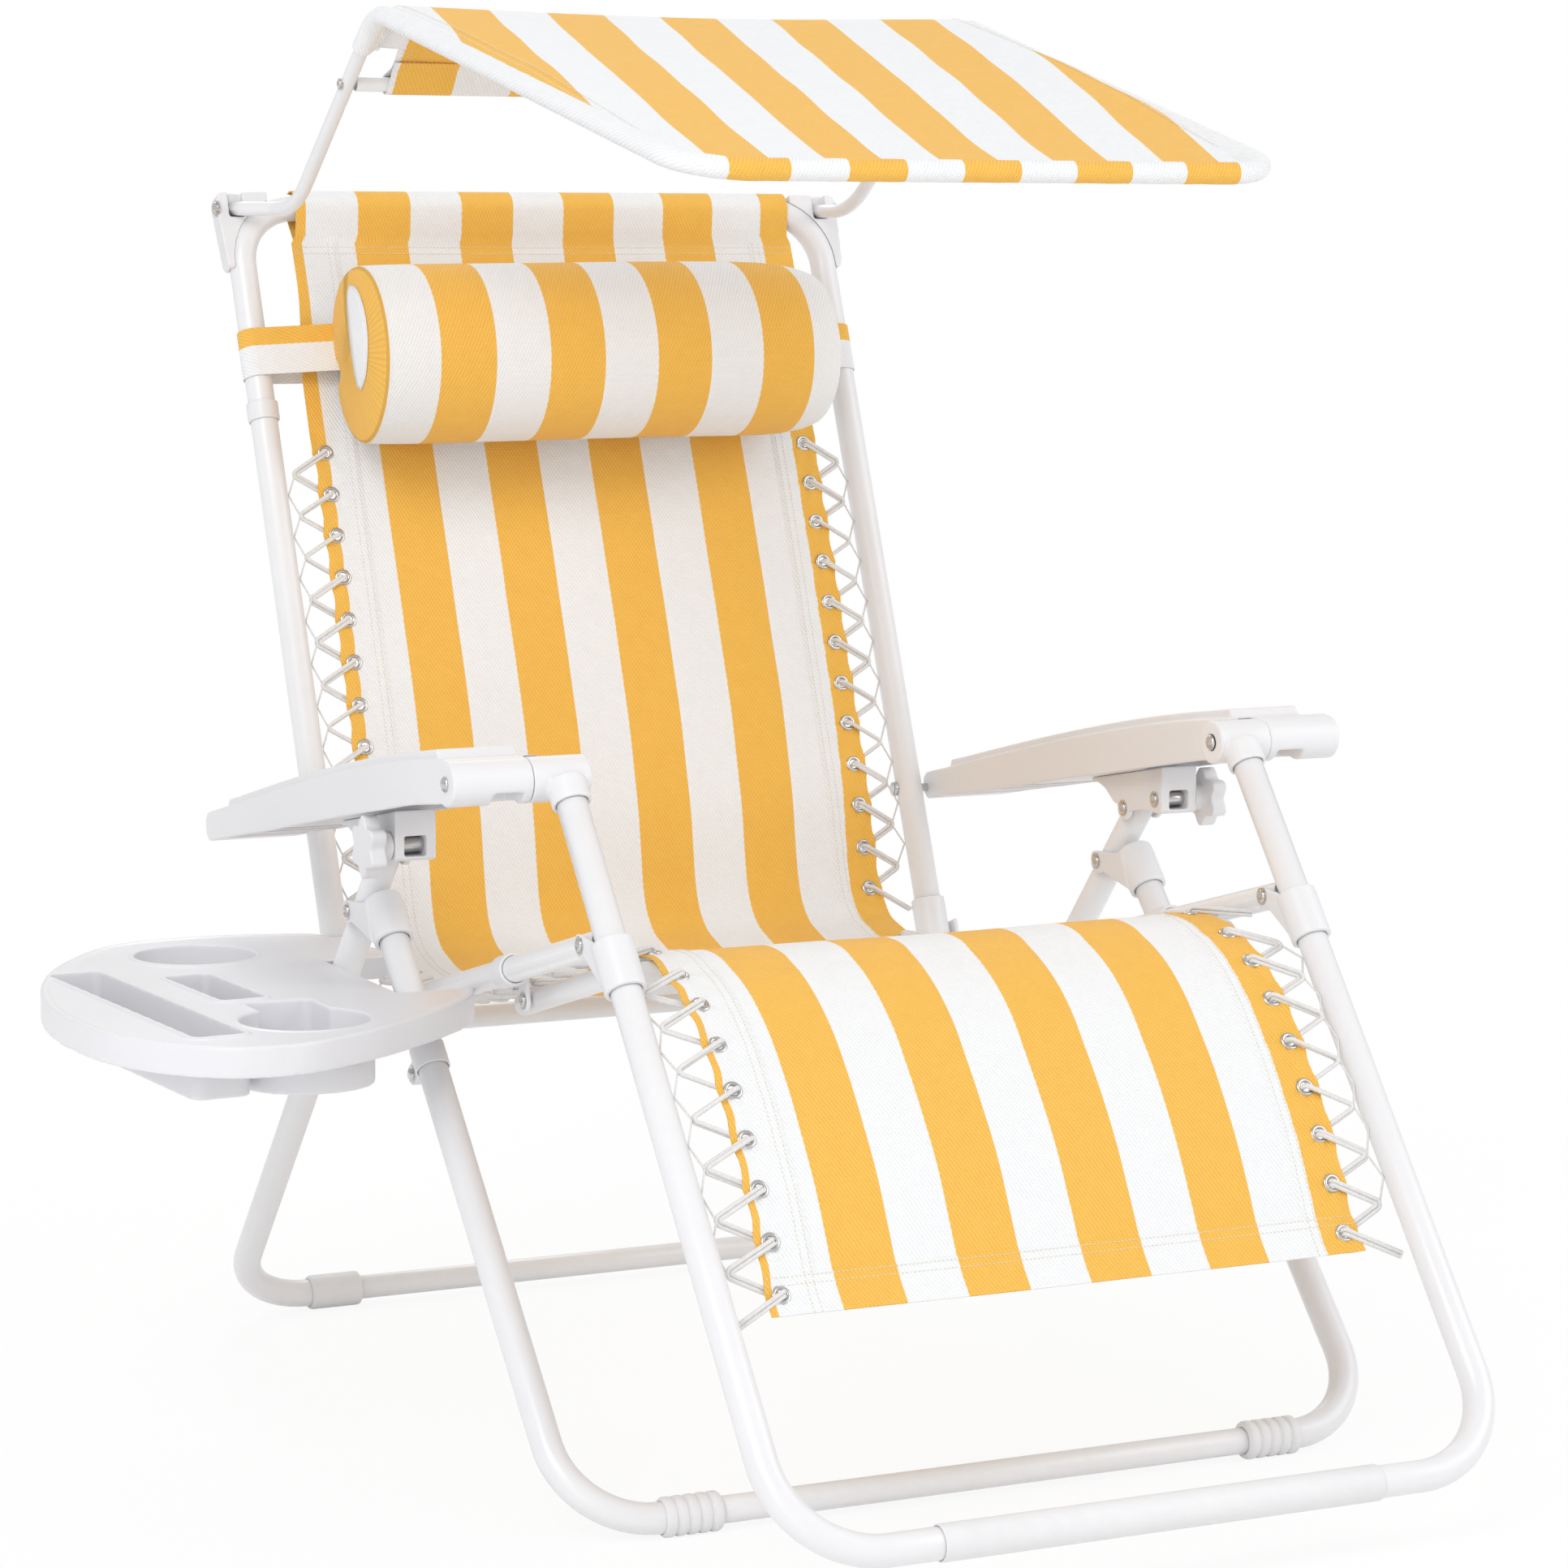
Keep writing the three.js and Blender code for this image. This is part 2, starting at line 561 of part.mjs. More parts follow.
  // The bolt along the grip, with a head at each end, and the pin between the arm's rear end and the back tube
  addMesh(`grip_bolt_${label}`, toGeometry(join([
    crossPin(armFrontPivot, pinRadius, ...span(capInner - fitGap - pinHeadHeight / 2, gripOuter + pinHeadHeight / 2)),
    crossPin(armFrontPivot, gripHeadRadius, ...span(capInner - fitGap - pinHeadHeight, capInner - fitGap)),
    crossPin(armFrontPivot, gripHeadRadius, ...span(gripOuter + fitGap, gripOuter + pinHeadHeight)),
  ])), steel);
  addMesh(`back_pin_${label}`, toGeometry(join([
    crossPin(armRearPivot, pinRadius,
      ...span(backHalfWidth - legTubeRadius - fitGap - pinHeadHeight / 2, armInner + armWall + fitGap)),
    crossPin(armRearPivot, pinHeadRadius,
      ...span(backHalfWidth - legTubeRadius - fitGap - pinHeadHeight, backHalfWidth - legTubeRadius - fitGap)),
  ])), steel);
}

// Back frame: an upturned tube, corner blocks for the canopy and forked ends on the seat rails
const canopyEndStagger = 2;
const canopyEndHalfWidth = backHalfWidth + canopyEndStagger;
const canopyBoltRadius = 2.5;
const canopySlotGap = 0.8;
const backUp = unit(minus(backBarPlace, seatRearPivot));
const backForward = [-backUp[1], backUp[0]];
const backTubeStart = 30;
const backCollarLength = 46;
const railEarGap = barRadius + 2 * fitGap;
const railEarWall = 4.2;
const railEarRadius = 10.5;
const gussetDepth = 9;
// The corner block's outline: out from the back tube's axis and down from the crossbar
const gussetOutline = [
  [-30, -12.5], [16, -12.5], [21, -5], [17, 62], [8, 62], [0, 50], [-17.6, 17.6], [-30, 4],
];
const backTubeLow = plus(seatRearPivot, backUp, backTubeStart);
const backTube = bentTube(
  [sidePoint(-backHalfWidth, backTubeLow), sidePoint(-backHalfWidth, backBarPlace),
    sidePoint(backHalfWidth, backBarPlace), sidePoint(backHalfWidth, backTubeLow)],
  backBendRadius, legTubeRadius);
addMesh('back_tube', toGeometry(cutFrom(toSolid(backTube), [crossPin(
  armRearPivot, pinBore, -armOuter, armOuter)])), white);

for (const [side, label] of [[-1, 'left'], [1, 'right']]) {
  const x = side * backHalfWidth;
  const railX = side * frameHalfWidth;
  // The fork: a collar round the tube's end and two plates down to the pin in the rail
  const along = (t, across) => plus(plus(seatRearPivot, backUp, t), backForward, across);
  const plateArc = [];
  for (let i = 0; i <= 6; i += 1) {
    const angle = Math.atan2(-backUp[1], -backUp[0]) - Math.PI / 2 + (Math.PI * i) / 6;
    plateArc.push([seatRearPivot[0] + railEarRadius * Math.cos(angle), seatRearPivot[1] + railEarRadius * Math.sin(angle)]);
  }
  const plate = shapeOf([...plateArc,
    along(backTubeStart + backCollarLength / 2, -railEarRadius), along(backTubeStart + backCollarLength / 2, railEarRadius)]);
  const collarOuter = legTubeRadius + collarWall * 0.8;
  const fork = join([
    rod(sidePoint(x, along(backTubeStart - collarWall, 0)), sidePoint(x, along(backTubeStart + backCollarLength, 0)), collarOuter),
    sideExtrude(plate, railX - railEarGap - railEarWall, railX - railEarGap),
    sideExtrude(plate, railX + railEarGap, railX + railEarGap + railEarWall),
  ]);
  const forkCut = cutFrom(fork, [
    rod(sidePoint(x, along(backTubeStart - fitGap, 0)), sidePoint(x, along(backTubeStart + 2 * backCollarLength, 0)),
      boreRadius(legTubeRadius)),
    crossPin(seatRearPivot, barRadius + 2 * fitGap, railX - railEarGap, railX + railEarGap, 2 * tubeSides),
  ]);
  addMesh(`back_fork_${label}`, toGeometry(forkCut.add(rivet(
    seatRearPivot, railX - railEarGap - railEarWall, railX + railEarGap + railEarWall))), whitePlastic);

  // The corner block fills the corner outside the tube's bend; a slot in it lets the canopy tube swing
  const wedgePoints = gussetOutline.map(([out, drop]) => new THREE.Vector2(side * (backHalfWidth + out), -drop));
  const wedge = new THREE.ExtrudeGeometry(
    new THREE.Shape(wedgePoints), { depth: 2 * gussetDepth, bevelEnabled: false });
  const backPlane = new THREE.Matrix4().makeBasis(
    new THREE.Vector3(1, 0, 0), sidePoint(0, backUp), sidePoint(0, backForward));
  backPlane.setPosition(sidePoint(0, plus(backBarPlace, backForward, -gussetDepth)));
  wedge.applyMatrix4(backPlane);
  const wideTube = bentRod(
    [sidePoint(x, backTubeLow), sidePoint(x, backBarPlace), sidePoint(0, backBarPlace)],
    backBendRadius, boreRadius(legTubeRadius));
  const slotHalf = canopyTubeRadius + canopySlotGap;
  const slotReach = 4 * gussetDepth;
  const slot = sideExtrude(shapeOf([
    [canopyPivot[0] - slotReach, canopyPivot[1] - slotHalf], [canopyPivot[0] + slotHalf, canopyPivot[1] - slotHalf],
    [canopyPivot[0] + slotHalf, canopyPivot[1] + slotReach], [canopyPivot[0] - slotReach, canopyPivot[1] + slotReach],
  ]), side * canopyEndHalfWidth - slotHalf, side * canopyEndHalfWidth + slotHalf);
  addMesh(`corner_block_${label}`, toGeometry(cutFrom(toSolid(wedge), [
    wideTube, slot,
    crossPin(canopyPivot, canopyBoltRadius + fitGap, x - 2 * backBendRadius, x + 2 * backBendRadius)])), whitePlastic);
  const boltStart = backHalfWidth + gussetOutline[2][0] - pinHeadHeight;
  addMesh(`canopy_bolt_${label}`, toGeometry(join([
    crossPin(canopyPivot, canopyBoltRadius,
      side * (canopyEndHalfWidth - slotHalf - canopyTubeRadius), side * (boltStart + 2 * pinHeadHeight)),
    crossPin(canopyPivot, pinHeadRadius - 1, side * (boltStart + pinHeadHeight + fitGap), side * (boltStart + 2 * pinHeadHeight)),
  ])), steel);
}

// A strip of sheet along a line of points: the line is offset to both sides
function ribbonShape(points, thickness, lift = 0) {
  const normals = points.map((point, i) => {
    const arriving = i > 0 ? unit(minus(point, points[i - 1])) : null;
    const leaving = i < points.length - 1 ? unit(minus(points[i + 1], point)) : null;
    const a = arriving || leaving;
    const b = leaving || arriving;
    const along = unit([a[0] + b[0], a[1] + b[1]]);
    const spread = 1 / Math.max(dot(along, a), 0.5);
    return [-along[1] * spread, along[0] * spread];
  });
  const lower = points.map((point, i) => plus(point, normals[i], lift - thickness / 2));
  const upper = points.map((point, i) => plus(point, normals[i], lift + thickness / 2));
  return shapeOf([...lower, ...upper.reverse()]);
}

// Points at given steps of length along a line of side points, each with its normal
function walk(points, count, startShare, endShare) {
  const lengths = [0];
  for (let i = 1; i < points.length; i += 1) {
    lengths.push(lengths[i - 1] + length2(minus(points[i], points[i - 1])));
  }
  const total = lengths[lengths.length - 1];
  const places = [];
  for (let k = 0; k < count; k += 1) {
    const share = startShare + ((endShare - startShare) * k) / (count - 1);
    const target = share * total;
    let i = 1;
    while (i < points.length - 1 && lengths[i] < target) {
      i += 1;
    }
    const along = unit(minus(points[i], points[i - 1]));
    places.push({ at: plus(points[i - 1], along, target - lengths[i - 1]), along, normal: [-along[1], along[0]] });
  }
  return places;
}

// The sling: [y, z] of its middle surface, in three panels that meet at the seat frame's two hinges
const slingThickness = 1.6;
const slingToTube = 42;
const slingHalfWidth = backHalfWidth - slingToTube;
const slingSleeveRoom = 1.2;
const hemToTube = 48;
const footHemHalfWidth = frameHalfWidth - hemToTube;
const eyeletInset = 13;
const eyeletHalfWidth = slingHalfWidth - eyeletInset;
const eyeletRadius = 5.2;
const cordRadius = 1.5;
const cordLift = 4.8;
const legPanel = [
  [-591, 205], [-578, 221], [-559, 257], [-539.5, 294], [-515, 331], [-489, 365], [-459, 397], [-423, 422],
  [-402, 431.5], [-385, 437],
];
const seatPanel = [
  [-373, 440.5], [-352, 443.3], [-330, 442.5], [-290, 432], [-230, 412.5], [-138, 386], [-60, 368], [7, 355],
  [70, 346.5], [130, 343], [180, 344], [211, 348],
];
const backPanel = [
  [222, 351.5], [243, 359], [260, 374], [270, 393], [278, 420], [290, 465], [306, 511], [416.5, 806],
  plus(backBarPlace, backUp, -boreRadius(legTubeRadius)),
];
const panelSides = {
  leg: { points: legPanel, halfWidth: footHemHalfWidth, eyelets: 8, from: 0.055, to: 0.97, tubeAt: frameHalfWidth - legTubeRadius },
  seat: { points: seatPanel, halfWidth: slingHalfWidth, eyelets: 13, from: 0.06, to: 0.97, tubeAt: frameHalfWidth - barRadius - 5 },
  back: { points: backPanel, halfWidth: slingHalfWidth, eyelets: 12, from: 0.075, to: 0.685, tubeAt: backHalfWidth - legTubeRadius - pinHeadHeight },
};
for (const [name, panel] of Object.entries(panelSides)) {
  let cloth = toSolid(sideExtrude(ribbonShape(panel.points, slingThickness), -panel.halfWidth, panel.halfWidth));
  if (name === 'back') {
    const sleeveInner = boreRadius(legTubeRadius) + slingSleeveRoom;
    const sleeveOuter = sleeveInner + slingThickness;
    cloth = cloth.add(toSolid(crossPin(backBarPlace, sleeveOuter, -slingHalfWidth + 4, slingHalfWidth - 4, tubeSides)));
    cloth = cutFrom(cloth, [
      crossPin(backBarPlace, sleeveInner, -backHalfWidth, backHalfWidth, tubeSides),
      bentRod([sidePoint(-backHalfWidth, backTubeLow), sidePoint(-backHalfWidth, backBarPlace),
        sidePoint(backHalfWidth, backBarPlace), sidePoint(backHalfWidth, backTubeLow)],
      backBendRadius, boreRadius(legTubeRadius))]);
  }
  const eyelets = walk(panel.points, panel.eyelets, panel.from, panel.to);
  const holes = [];
  for (const side of [-1, 1]) {
    for (const { at, normal } of eyelets) {
      const x = side * eyeletHalfWidth;
      holes.push(rod(
        sidePoint(x, plus(at, normal, -cordLift)), sidePoint(x, plus(at, normal, cordLift)), eyeletRadius, 4));
    }
  }
  addMesh(`${name}_fabric`, toGeometry(cutFrom(cloth, holes)), stripe);

  for (const [side, label] of [[-1, 'left'], [1, 'right']]) {
    const turn = panel.tubeAt - cordRadius - fitGap;
    const route = [];
    eyelets.forEach(({ at, normal }, i) => {
      const eye = side * eyeletHalfWidth;
      route.push(sidePoint(eye, plus(at, normal, -cordLift)), sidePoint(eye, plus(at, normal, cordLift)));
      if (i < eyelets.length - 1) {
        const next = eyelets[i + 1];
        const between = plus(at, minus(next.at, at), 1 / 2);
        route.push(sidePoint(side * turn, between));
      }
    });
    addMesh(`${name}_lacing_${label}`, sweep(new CordPath(route), cordRadius, 0, 4), cordWhite);
  }
}

// A small clip on the rear of the left back tube
const clipHeight = 843;
const clipPlace = plus(backBarPlace, backUp, (clipHeight - backBarPlace[1]) / backUp[1]);
const clipLength = 18;
const clipWall = 1.5;
const clipBlockSize = [11, 10, 14];
const clipBlock = new THREE.BoxGeometry(...clipBlockSize);
clipBlock.translate(-backHalfWidth, clipPlace[0] + legTubeRadius + collarWall, clipPlace[1]);
addMesh('cord_clip', toGeometry(cutFrom(join([
  rod(sidePoint(-backHalfWidth, plus(clipPlace, backUp, -clipLength / 2)),
    sidePoint(-backHalfWidth, plus(clipPlace, backUp, clipLength / 2)), boreRadius(legTubeRadius) + clipWall),
  clipBlock,
]), [rod(sidePoint(-backHalfWidth, plus(clipPlace, backUp, -clipLength)),
  sidePoint(-backHalfWidth, plus(clipPlace, backUp, clipLength)), boreRadius(legTubeRadius))])), whitePlastic);

// Pillow and its elastic band, set out from the plane of the back tubes
const pillowCentreHeight = 870;
const bandHeight = 895;
const pillowToTube = 70;
const pillowHalfLength = backHalfWidth - pillowToTube;
const pillowDeep = 77;
const pillowTall = 85;
const pillowCrown = 30;
const bandWidth = 46;
const bandThickness = 1.2;
const bandInset = 4;
const bandStart = [pillowHalfLength - bandInset, 24];
const onBackAt = (height) => plus(backBarPlace, backUp, (height - backBarPlace[1]) / backUp[1]);
const pillowOnBack = onBackAt(pillowCentreHeight);
const pillowShape = new THREE.Shape();
pillowShape.absellipse(0, 0, pillowTall - pillowCrown, pillowDeep - pillowCrown, 0, 2 * Math.PI);
const pillow = new THREE.ExtrudeGeometry(pillowShape, {
  depth: 2 * (pillowHalfLength - pillowCrown), bevelEnabled: true, bevelThickness: pillowCrown, bevelSize: pillowCrown,
  bevelSegments: 4, curveSegments: 14,
});
const pillowAway = 2 * slingThickness + fitGap + pillowDeep;
pillow.applyMatrix4(new THREE.Matrix4().makeBasis(
  sidePoint(0, backUp), sidePoint(0, backForward), new THREE.Vector3(1, 0, 0))
  .setPosition(sidePoint(-(pillowHalfLength - pillowCrown), plus(pillowOnBack, backForward, pillowAway))));
const bandRadius = legTubeRadius + fitGap + bandThickness / 2;
const bandHalf = [bandStart];
const startAngle = Math.atan2(bandStart[1], bandStart[0] - backHalfWidth);
const tangentAngle = startAngle - Math.acos(bandRadius / Math.hypot(bandStart[1], bandStart[0] - backHalfWidth));
const bandSteps = 12;
for (let i = 0; i <= bandSteps; i += 1) {
  const angle = tangentAngle + ((-Math.PI / 2 - tangentAngle) * i) / bandSteps;
  bandHalf.push([backHalfWidth + bandRadius * Math.cos(angle), bandRadius * Math.sin(angle)]);
}
const bandLine = [...bandHalf, ...bandHalf.map(([a, b]) => [-a, b]).reverse()];
const band = new THREE.ExtrudeGeometry(ribbonShape(bandLine.reverse(), bandThickness), {
  depth: bandWidth, bevelEnabled: false,
});
band.applyMatrix4(new THREE.Matrix4().makeBasis(
  new THREE.Vector3(1, 0, 0), sidePoint(0, backForward), sidePoint(0, [-backUp[0], -backUp[1]]))
  .setPosition(sidePoint(0, plus(onBackAt(bandHeight), backUp, bandWidth / 2))));
addMesh('pillow', toGeometry(cutFrom(toSolid(pillow), [])), stripe);
addMesh('pillow_band', toGeometry(cutFrom(toSolid(band), [pillow])), stripe);

// Canopy: one bent tube, a crossbar and a sewn cover with sleeves for them
const canopyToBack = 16;
const canopyHalfWidth = backHalfWidth - canopyToBack;
const canopyRidge = [165, 1203];
const canopyFront = [-440, 1063];
const canopyTaper = 25;
const canopyFrontHalf = canopyHalfWidth - canopyTaper;
const canopyRise = 388;
const canopyJog = [[backHalfWidth + 1, 478], [canopyHalfWidth - 2, 444]];
const canopyBar = [244, 1142.4];
const canopyBends = [18, 18, 110, 55, 55];
const sleeveRoom = 0.8;
const coverThickness = 1.3;
const coverSleeveLength = 50;
const coverSleeveStart = plus(
  canopyRidge, unit(minus([canopyRise, canopyPivot[1]], canopyRidge)), coverSleeveLength);
const flapToTube = 36;
const flapHalfWidth = canopyHalfWidth - flapToTube;
const canopySides = 8;

const canopyCorners = (side) => [
  sidePoint(side * canopyEndHalfWidth, [canopyPivot[0] + canopyTubeRadius, canopyPivot[1]]),
  sidePoint(side * canopyJog[0][0], [canopyJog[0][1], canopyPivot[1]]),
  sidePoint(side * canopyJog[1][0], [canopyJog[1][1], canopyPivot[1]]),
  sidePoint(side * canopyJog[1][0], [canopyRise, canopyPivot[1]]),
  sidePoint(side * canopyHalfWidth, canopyRidge),
  sidePoint(side * canopyFrontHalf, canopyFront),
];
const canopyTube = bentTube(
  [...canopyCorners(-1), ...canopyCorners(1).reverse()], [...canopyBends, ...canopyBends.slice().reverse()],
  canopyTubeRadius, 1, canopySides);
// Its two ends are rounded about the bolts
const endTrims = [-1, 1].map((side) => toSolid(sideExtrude(shapeOf([
  [canopyPivot[0], canopyPivot[1] - 2 * canopyTubeRadius],
  [canopyPivot[0] + 2 * canopyTubeRadius, canopyPivot[1] - 2 * canopyTubeRadius],
  [canopyPivot[0] + 2 * canopyTubeRadius, canopyPivot[1] + 2 * canopyTubeRadius],
  [canopyPivot[0], canopyPivot[1] + 2 * canopyTubeRadius],
]), side * canopyEndHalfWidth - 2 * canopyTubeRadius, side * canopyEndHalfWidth + 2 * canopyTubeRadius))
  .subtract(toSolid(crossPin(canopyPivot, canopyTubeRadius,
    side * canopyEndHalfWidth - 3 * canopyTubeRadius, side * canopyEndHalfWidth + 3 * canopyTubeRadius, 2 * pinSides))));
const canopyTrimmed = endTrims.reduce((rest, trim) => rest.subtract(trim), toSolid(canopyTube));
addMesh('canopy_tube', toGeometry(cutFrom(canopyTrimmed, [
  crossPin(canopyPivot, canopyBoltRadius + fitGap, -armOuter, armOuter)])), white);
const barReach = canopyHalfWidth - canopyTubeRadius - 4 * fitGap;
addMesh('canopy_crossbar', crossPin(canopyBar, canopyTubeRadius, -barReach, barReach, canopySides), white);

const coverInner = (canopyTubeRadius + fitGap) / Math.cos(Math.PI / canopySides) + sleeveRoom / 2;
const coverOuter = coverInner + coverThickness;
const coverSide = new BentPath(
  [sidePoint(0, canopyBar), sidePoint(0, canopyRidge), sidePoint(0, canopyFront)], canopyBends[3])
  .stations.map((station) => [station.y, station.z]).reverse();
const coverSheet = toSolid(sideExtrude(
  ribbonShape(coverSide, coverThickness, coverOuter - coverThickness / 2 - 0.1), -canopyHalfWidth, canopyHalfWidth));
const plan = new THREE.Shape();
const frontBend = canopyBends[4];
plan.moveTo(-canopyHalfWidth, coverSleeveStart[0]);
plan.lineTo(-canopyHalfWidth, canopyRidge[0]);
plan.lineTo(-canopyFrontHalf, canopyFront[0] + frontBend);
plan.absarc(-canopyFrontHalf + frontBend, canopyFront[0] + frontBend, frontBend, Math.PI, 1.5 * Math.PI);
plan.absarc(canopyFrontHalf - frontBend, canopyFront[0] + frontBend, frontBend, 1.5 * Math.PI, 2 * Math.PI);
plan.lineTo(canopyHalfWidth, canopyRidge[0]);
plan.lineTo(canopyHalfWidth, coverSleeveStart[0]);
plan.lineTo(flapHalfWidth, coverSleeveStart[0]);
plan.lineTo(flapHalfWidth, canopyBar[0] + coverOuter);
plan.lineTo(-flapHalfWidth, canopyBar[0] + coverOuter);
plan.lineTo(-flapHalfWidth, coverSleeveStart[0]);
const planBlock = new THREE.ExtrudeGeometry(plan, { depth: 2 * pillowCentreHeight, bevelEnabled: false, curveSegments: 5 });
const coverRoute = [
  sidePoint(-canopyHalfWidth, coverSleeveStart), sidePoint(-canopyHalfWidth, canopyRidge),
  sidePoint(-canopyFrontHalf, canopyFront), sidePoint(canopyFrontHalf, canopyFront),
  sidePoint(canopyHalfWidth, canopyRidge), sidePoint(canopyHalfWidth, coverSleeveStart),
];
const coverBends = [canopyBends[3], canopyBends[4], canopyBends[4], canopyBends[3]];
const sleeveSolid = toSolid(bentTube(coverRoute, coverBends, coverOuter, 0, canopySides));
const sleeveBore = toSolid(bentTube(coverRoute, coverBends, coverInner, 0, canopySides));
const hemSolid = toSolid(crossPin(canopyBar, coverOuter, -flapHalfWidth, flapHalfWidth, canopySides));
const hemBore = toSolid(crossPin(canopyBar, coverInner, -flapHalfWidth - 1, flapHalfWidth + 1, canopySides));
const sleeveEnds = [-1, 1].map((side) => toSolid(rod(
  sidePoint(side * canopyHalfWidth, plus(canopyRidge, unit(minus(coverSleeveStart, canopyRidge)), 2)),
  sidePoint(side * canopyHalfWidth, plus(coverSleeveStart, unit(minus(coverSleeveStart, canopyRidge)), 4)),
  coverInner, canopySides)));
let cover = coverSheet.intersect(toSolid(planBlock)).add(sleeveSolid).add(hemSolid).subtract(sleeveBore).subtract(hemBore);
cover = sleeveEnds.reduce((rest, end) => rest.subtract(end), cover);
addMesh('canopy_fabric', toGeometry(cover), stripe);

// Seat frame: one bent tube behind the hinges of the back, with flat rounded ends at the footrest
const railUnit = unit(minus(seatRearPivot, seatFrontPivot));
const seatBarPlace = plus(seatRearPivot, railUnit, seatBarOverhang);
const railEnd = plus(seatFrontPivot, railUnit, -barRadius);
const seatTube = bentTube([
  sidePoint(-frameHalfWidth, railEnd), sidePoint(-frameHalfWidth, seatBarPlace),
  sidePoint(frameHalfWidth, seatBarPlace), sidePoint(frameHalfWidth, railEnd),
], seatBendRadius, barRadius, tubeWall, railSides);
const railTurn = Math.atan2(railUnit[1], railUnit[0]);
const trimShape = shapeOf([[0, -2 * barRadius], [0, 2 * barRadius], [-2 * barRadius, 2 * barRadius],
  [-2 * barRadius, -2 * barRadius]].map(([a, b]) => [
  seatFrontPivot[0] + a * Math.cos(railTurn) - b * Math.sin(railTurn),
  seatFrontPivot[1] + a * Math.sin(railTurn) + b * Math.cos(railTurn)]));
const railTrim = toSolid(sideExtrude(trimShape, -legHalfWidth, legHalfWidth))
  .subtract(toSolid(crossPin(seatFrontPivot, barRadius, -2 * legHalfWidth, 2 * legHalfWidth, 2 * pinSides)));
addMesh('seat_tube', toGeometry(cutFrom(toSolid(seatTube).subtract(railTrim), [
  crossPin(seatFrontPivot, pinBore, -legHalfWidth, legHalfWidth),
  crossPin(seatRearPivot, pinBore, -legHalfWidth, legHalfWidth),
])), white);

// Knee bar: a bent tube that hangs from a bracket on each rail and lifts the sling
const kneePivot = [-198, 387];
const kneeBarPlace = [-356, 432];
const kneeToRail = 23.5;
const kneeHalfWidth = frameHalfWidth - kneeToRail;
const kneeBendRadius = 40;
const kneeSides = 10;
const kneeOverhang = 34;
const kneeClampRadius = 14;
const kneeClampLength = 24;
const kneeTab = [frameHalfWidth - 12.8, frameHalfWidth - 9];
const kneeTabHalf = 9;
const kneeUnit = unit(minus(kneeBarPlace, kneePivot));
const kneeEnd = plus(kneePivot, kneeUnit, -kneeOverhang);
const kneeTube = bentTube([
  sidePoint(-kneeHalfWidth, kneeEnd), sidePoint(-kneeHalfWidth, kneeBarPlace),
  sidePoint(kneeHalfWidth, kneeBarPlace), sidePoint(kneeHalfWidth, kneeEnd),
], kneeBendRadius, kneeBarRadius, tubeWall, kneeSides);
addMesh('knee_bar', toGeometry(cutFrom(toSolid(kneeTube), [
  crossPin(kneePivot, pinBore, -legHalfWidth, legHalfWidth)])), white);

const footRun = unit(minus(footBarPlace, footTubeTop));
const capTubeStart = 12;
const capSocketLength = 19;
const footCollarFrom = 13;
const footCollarLength = 44;
for (const [side, label] of [[-1, 'left'], [1, 'right']]) {
  const x = side * frameHalfWidth;
  const onRail = plus(seatFrontPivot, railUnit, dot(minus(kneePivot, seatFrontPivot), railUnit));
  const clampAt = (t) => sidePoint(x, plus(onRail, railUnit, t * kneeClampLength));
  const knee = join([
    rod(clampAt(-1 / 2), clampAt(1 / 2), kneeClampRadius),
    sideExtrude(shapeOf([
      [kneePivot[0] - kneeTabHalf, kneePivot[1] - kneeTabHalf], [kneePivot[0] + kneeTabHalf, kneePivot[1] - kneeTabHalf],
      plus(onRail, [1, 0], kneeTabHalf), plus(onRail, [-1, 0], kneeTabHalf),
    ]), side * kneeTab[0], side * kneeTab[1]),
  ]);
  const kneeBored = cutFrom(knee, [rod(clampAt(-1), clampAt(1), boreRadius(barRadius))]);
  addMesh(`knee_bracket_${label}`, toGeometry(kneeBored.add(rivet(
    kneePivot, side * (kneeHalfWidth - kneeBarRadius - fitGap - pinHeadHeight / 2), side * (kneeTab[1])))), whitePlastic);

  // Footrest tube, its end cap on the arm's bolt and its collar on the seat rail
  const footTube = bentTube([
    sidePoint(x, plus(footTubeTop, footRun, capTubeStart)), sidePoint(x, footBarPlace),
    sidePoint(side * (footSleeveHalfLength - footInsert), footBarPlace),
  ], footBendRadius, legTubeRadius);
  addMesh(`foot_tube_${label}`, footTube, white);
  const cap = join([
    crossPin(armFrontPivot, gripRadius, side * capInner, side * (gripInner - fitGap), 2 * pinSides),
    rod(sidePoint(x, plus(footTubeTop, footRun, -2)), sidePoint(x, plus(footTubeTop, footRun, capSocketLength)),
      legTubeRadius + collarWall),
  ]);
  addMesh(`foot_cap_${label}`, toGeometry(cutFrom(cap, [
    rod(sidePoint(x, plus(footTubeTop, footRun, capTubeStart - fitGap)),
      sidePoint(x, plus(footTubeTop, footRun, 2 * capSocketLength)), boreRadius(legTubeRadius)),
    crossPin(armFrontPivot, pinRadius + capClearance, side * (capInner - 1), side * gripInner),
  ])), whitePlastic);
  const origin = plus(footTubeTop, footRun, dot(minus(seatFrontPivot, footTubeTop), footRun));
  addMesh(`foot_collar_${label}`, toGeometry(clevis({
    x, origin, down: footRun, pivot: seatFrontPivot,
    from: footCollarFrom, to: footCollarFrom + footCollarLength, closedEnd: false,
    earX: x, gap: railEarGap, earWall: railEarWall, earRadius: railEarRadius, relief: railEarGap, wall: collarWall,
  })), whitePlastic);
}
const footSleeve = toSolid(crossPin(footBarPlace, footSleeveRadius, -footSleeveHalfLength, footSleeveHalfLength, tubeSides));
addMesh('foot_sleeve', toGeometry(cutFrom(footSleeve, [
  crossPin(footBarPlace, footSleeveBore, -legHalfWidth, legHalfWidth, tubeSides)])), whitePlastic);

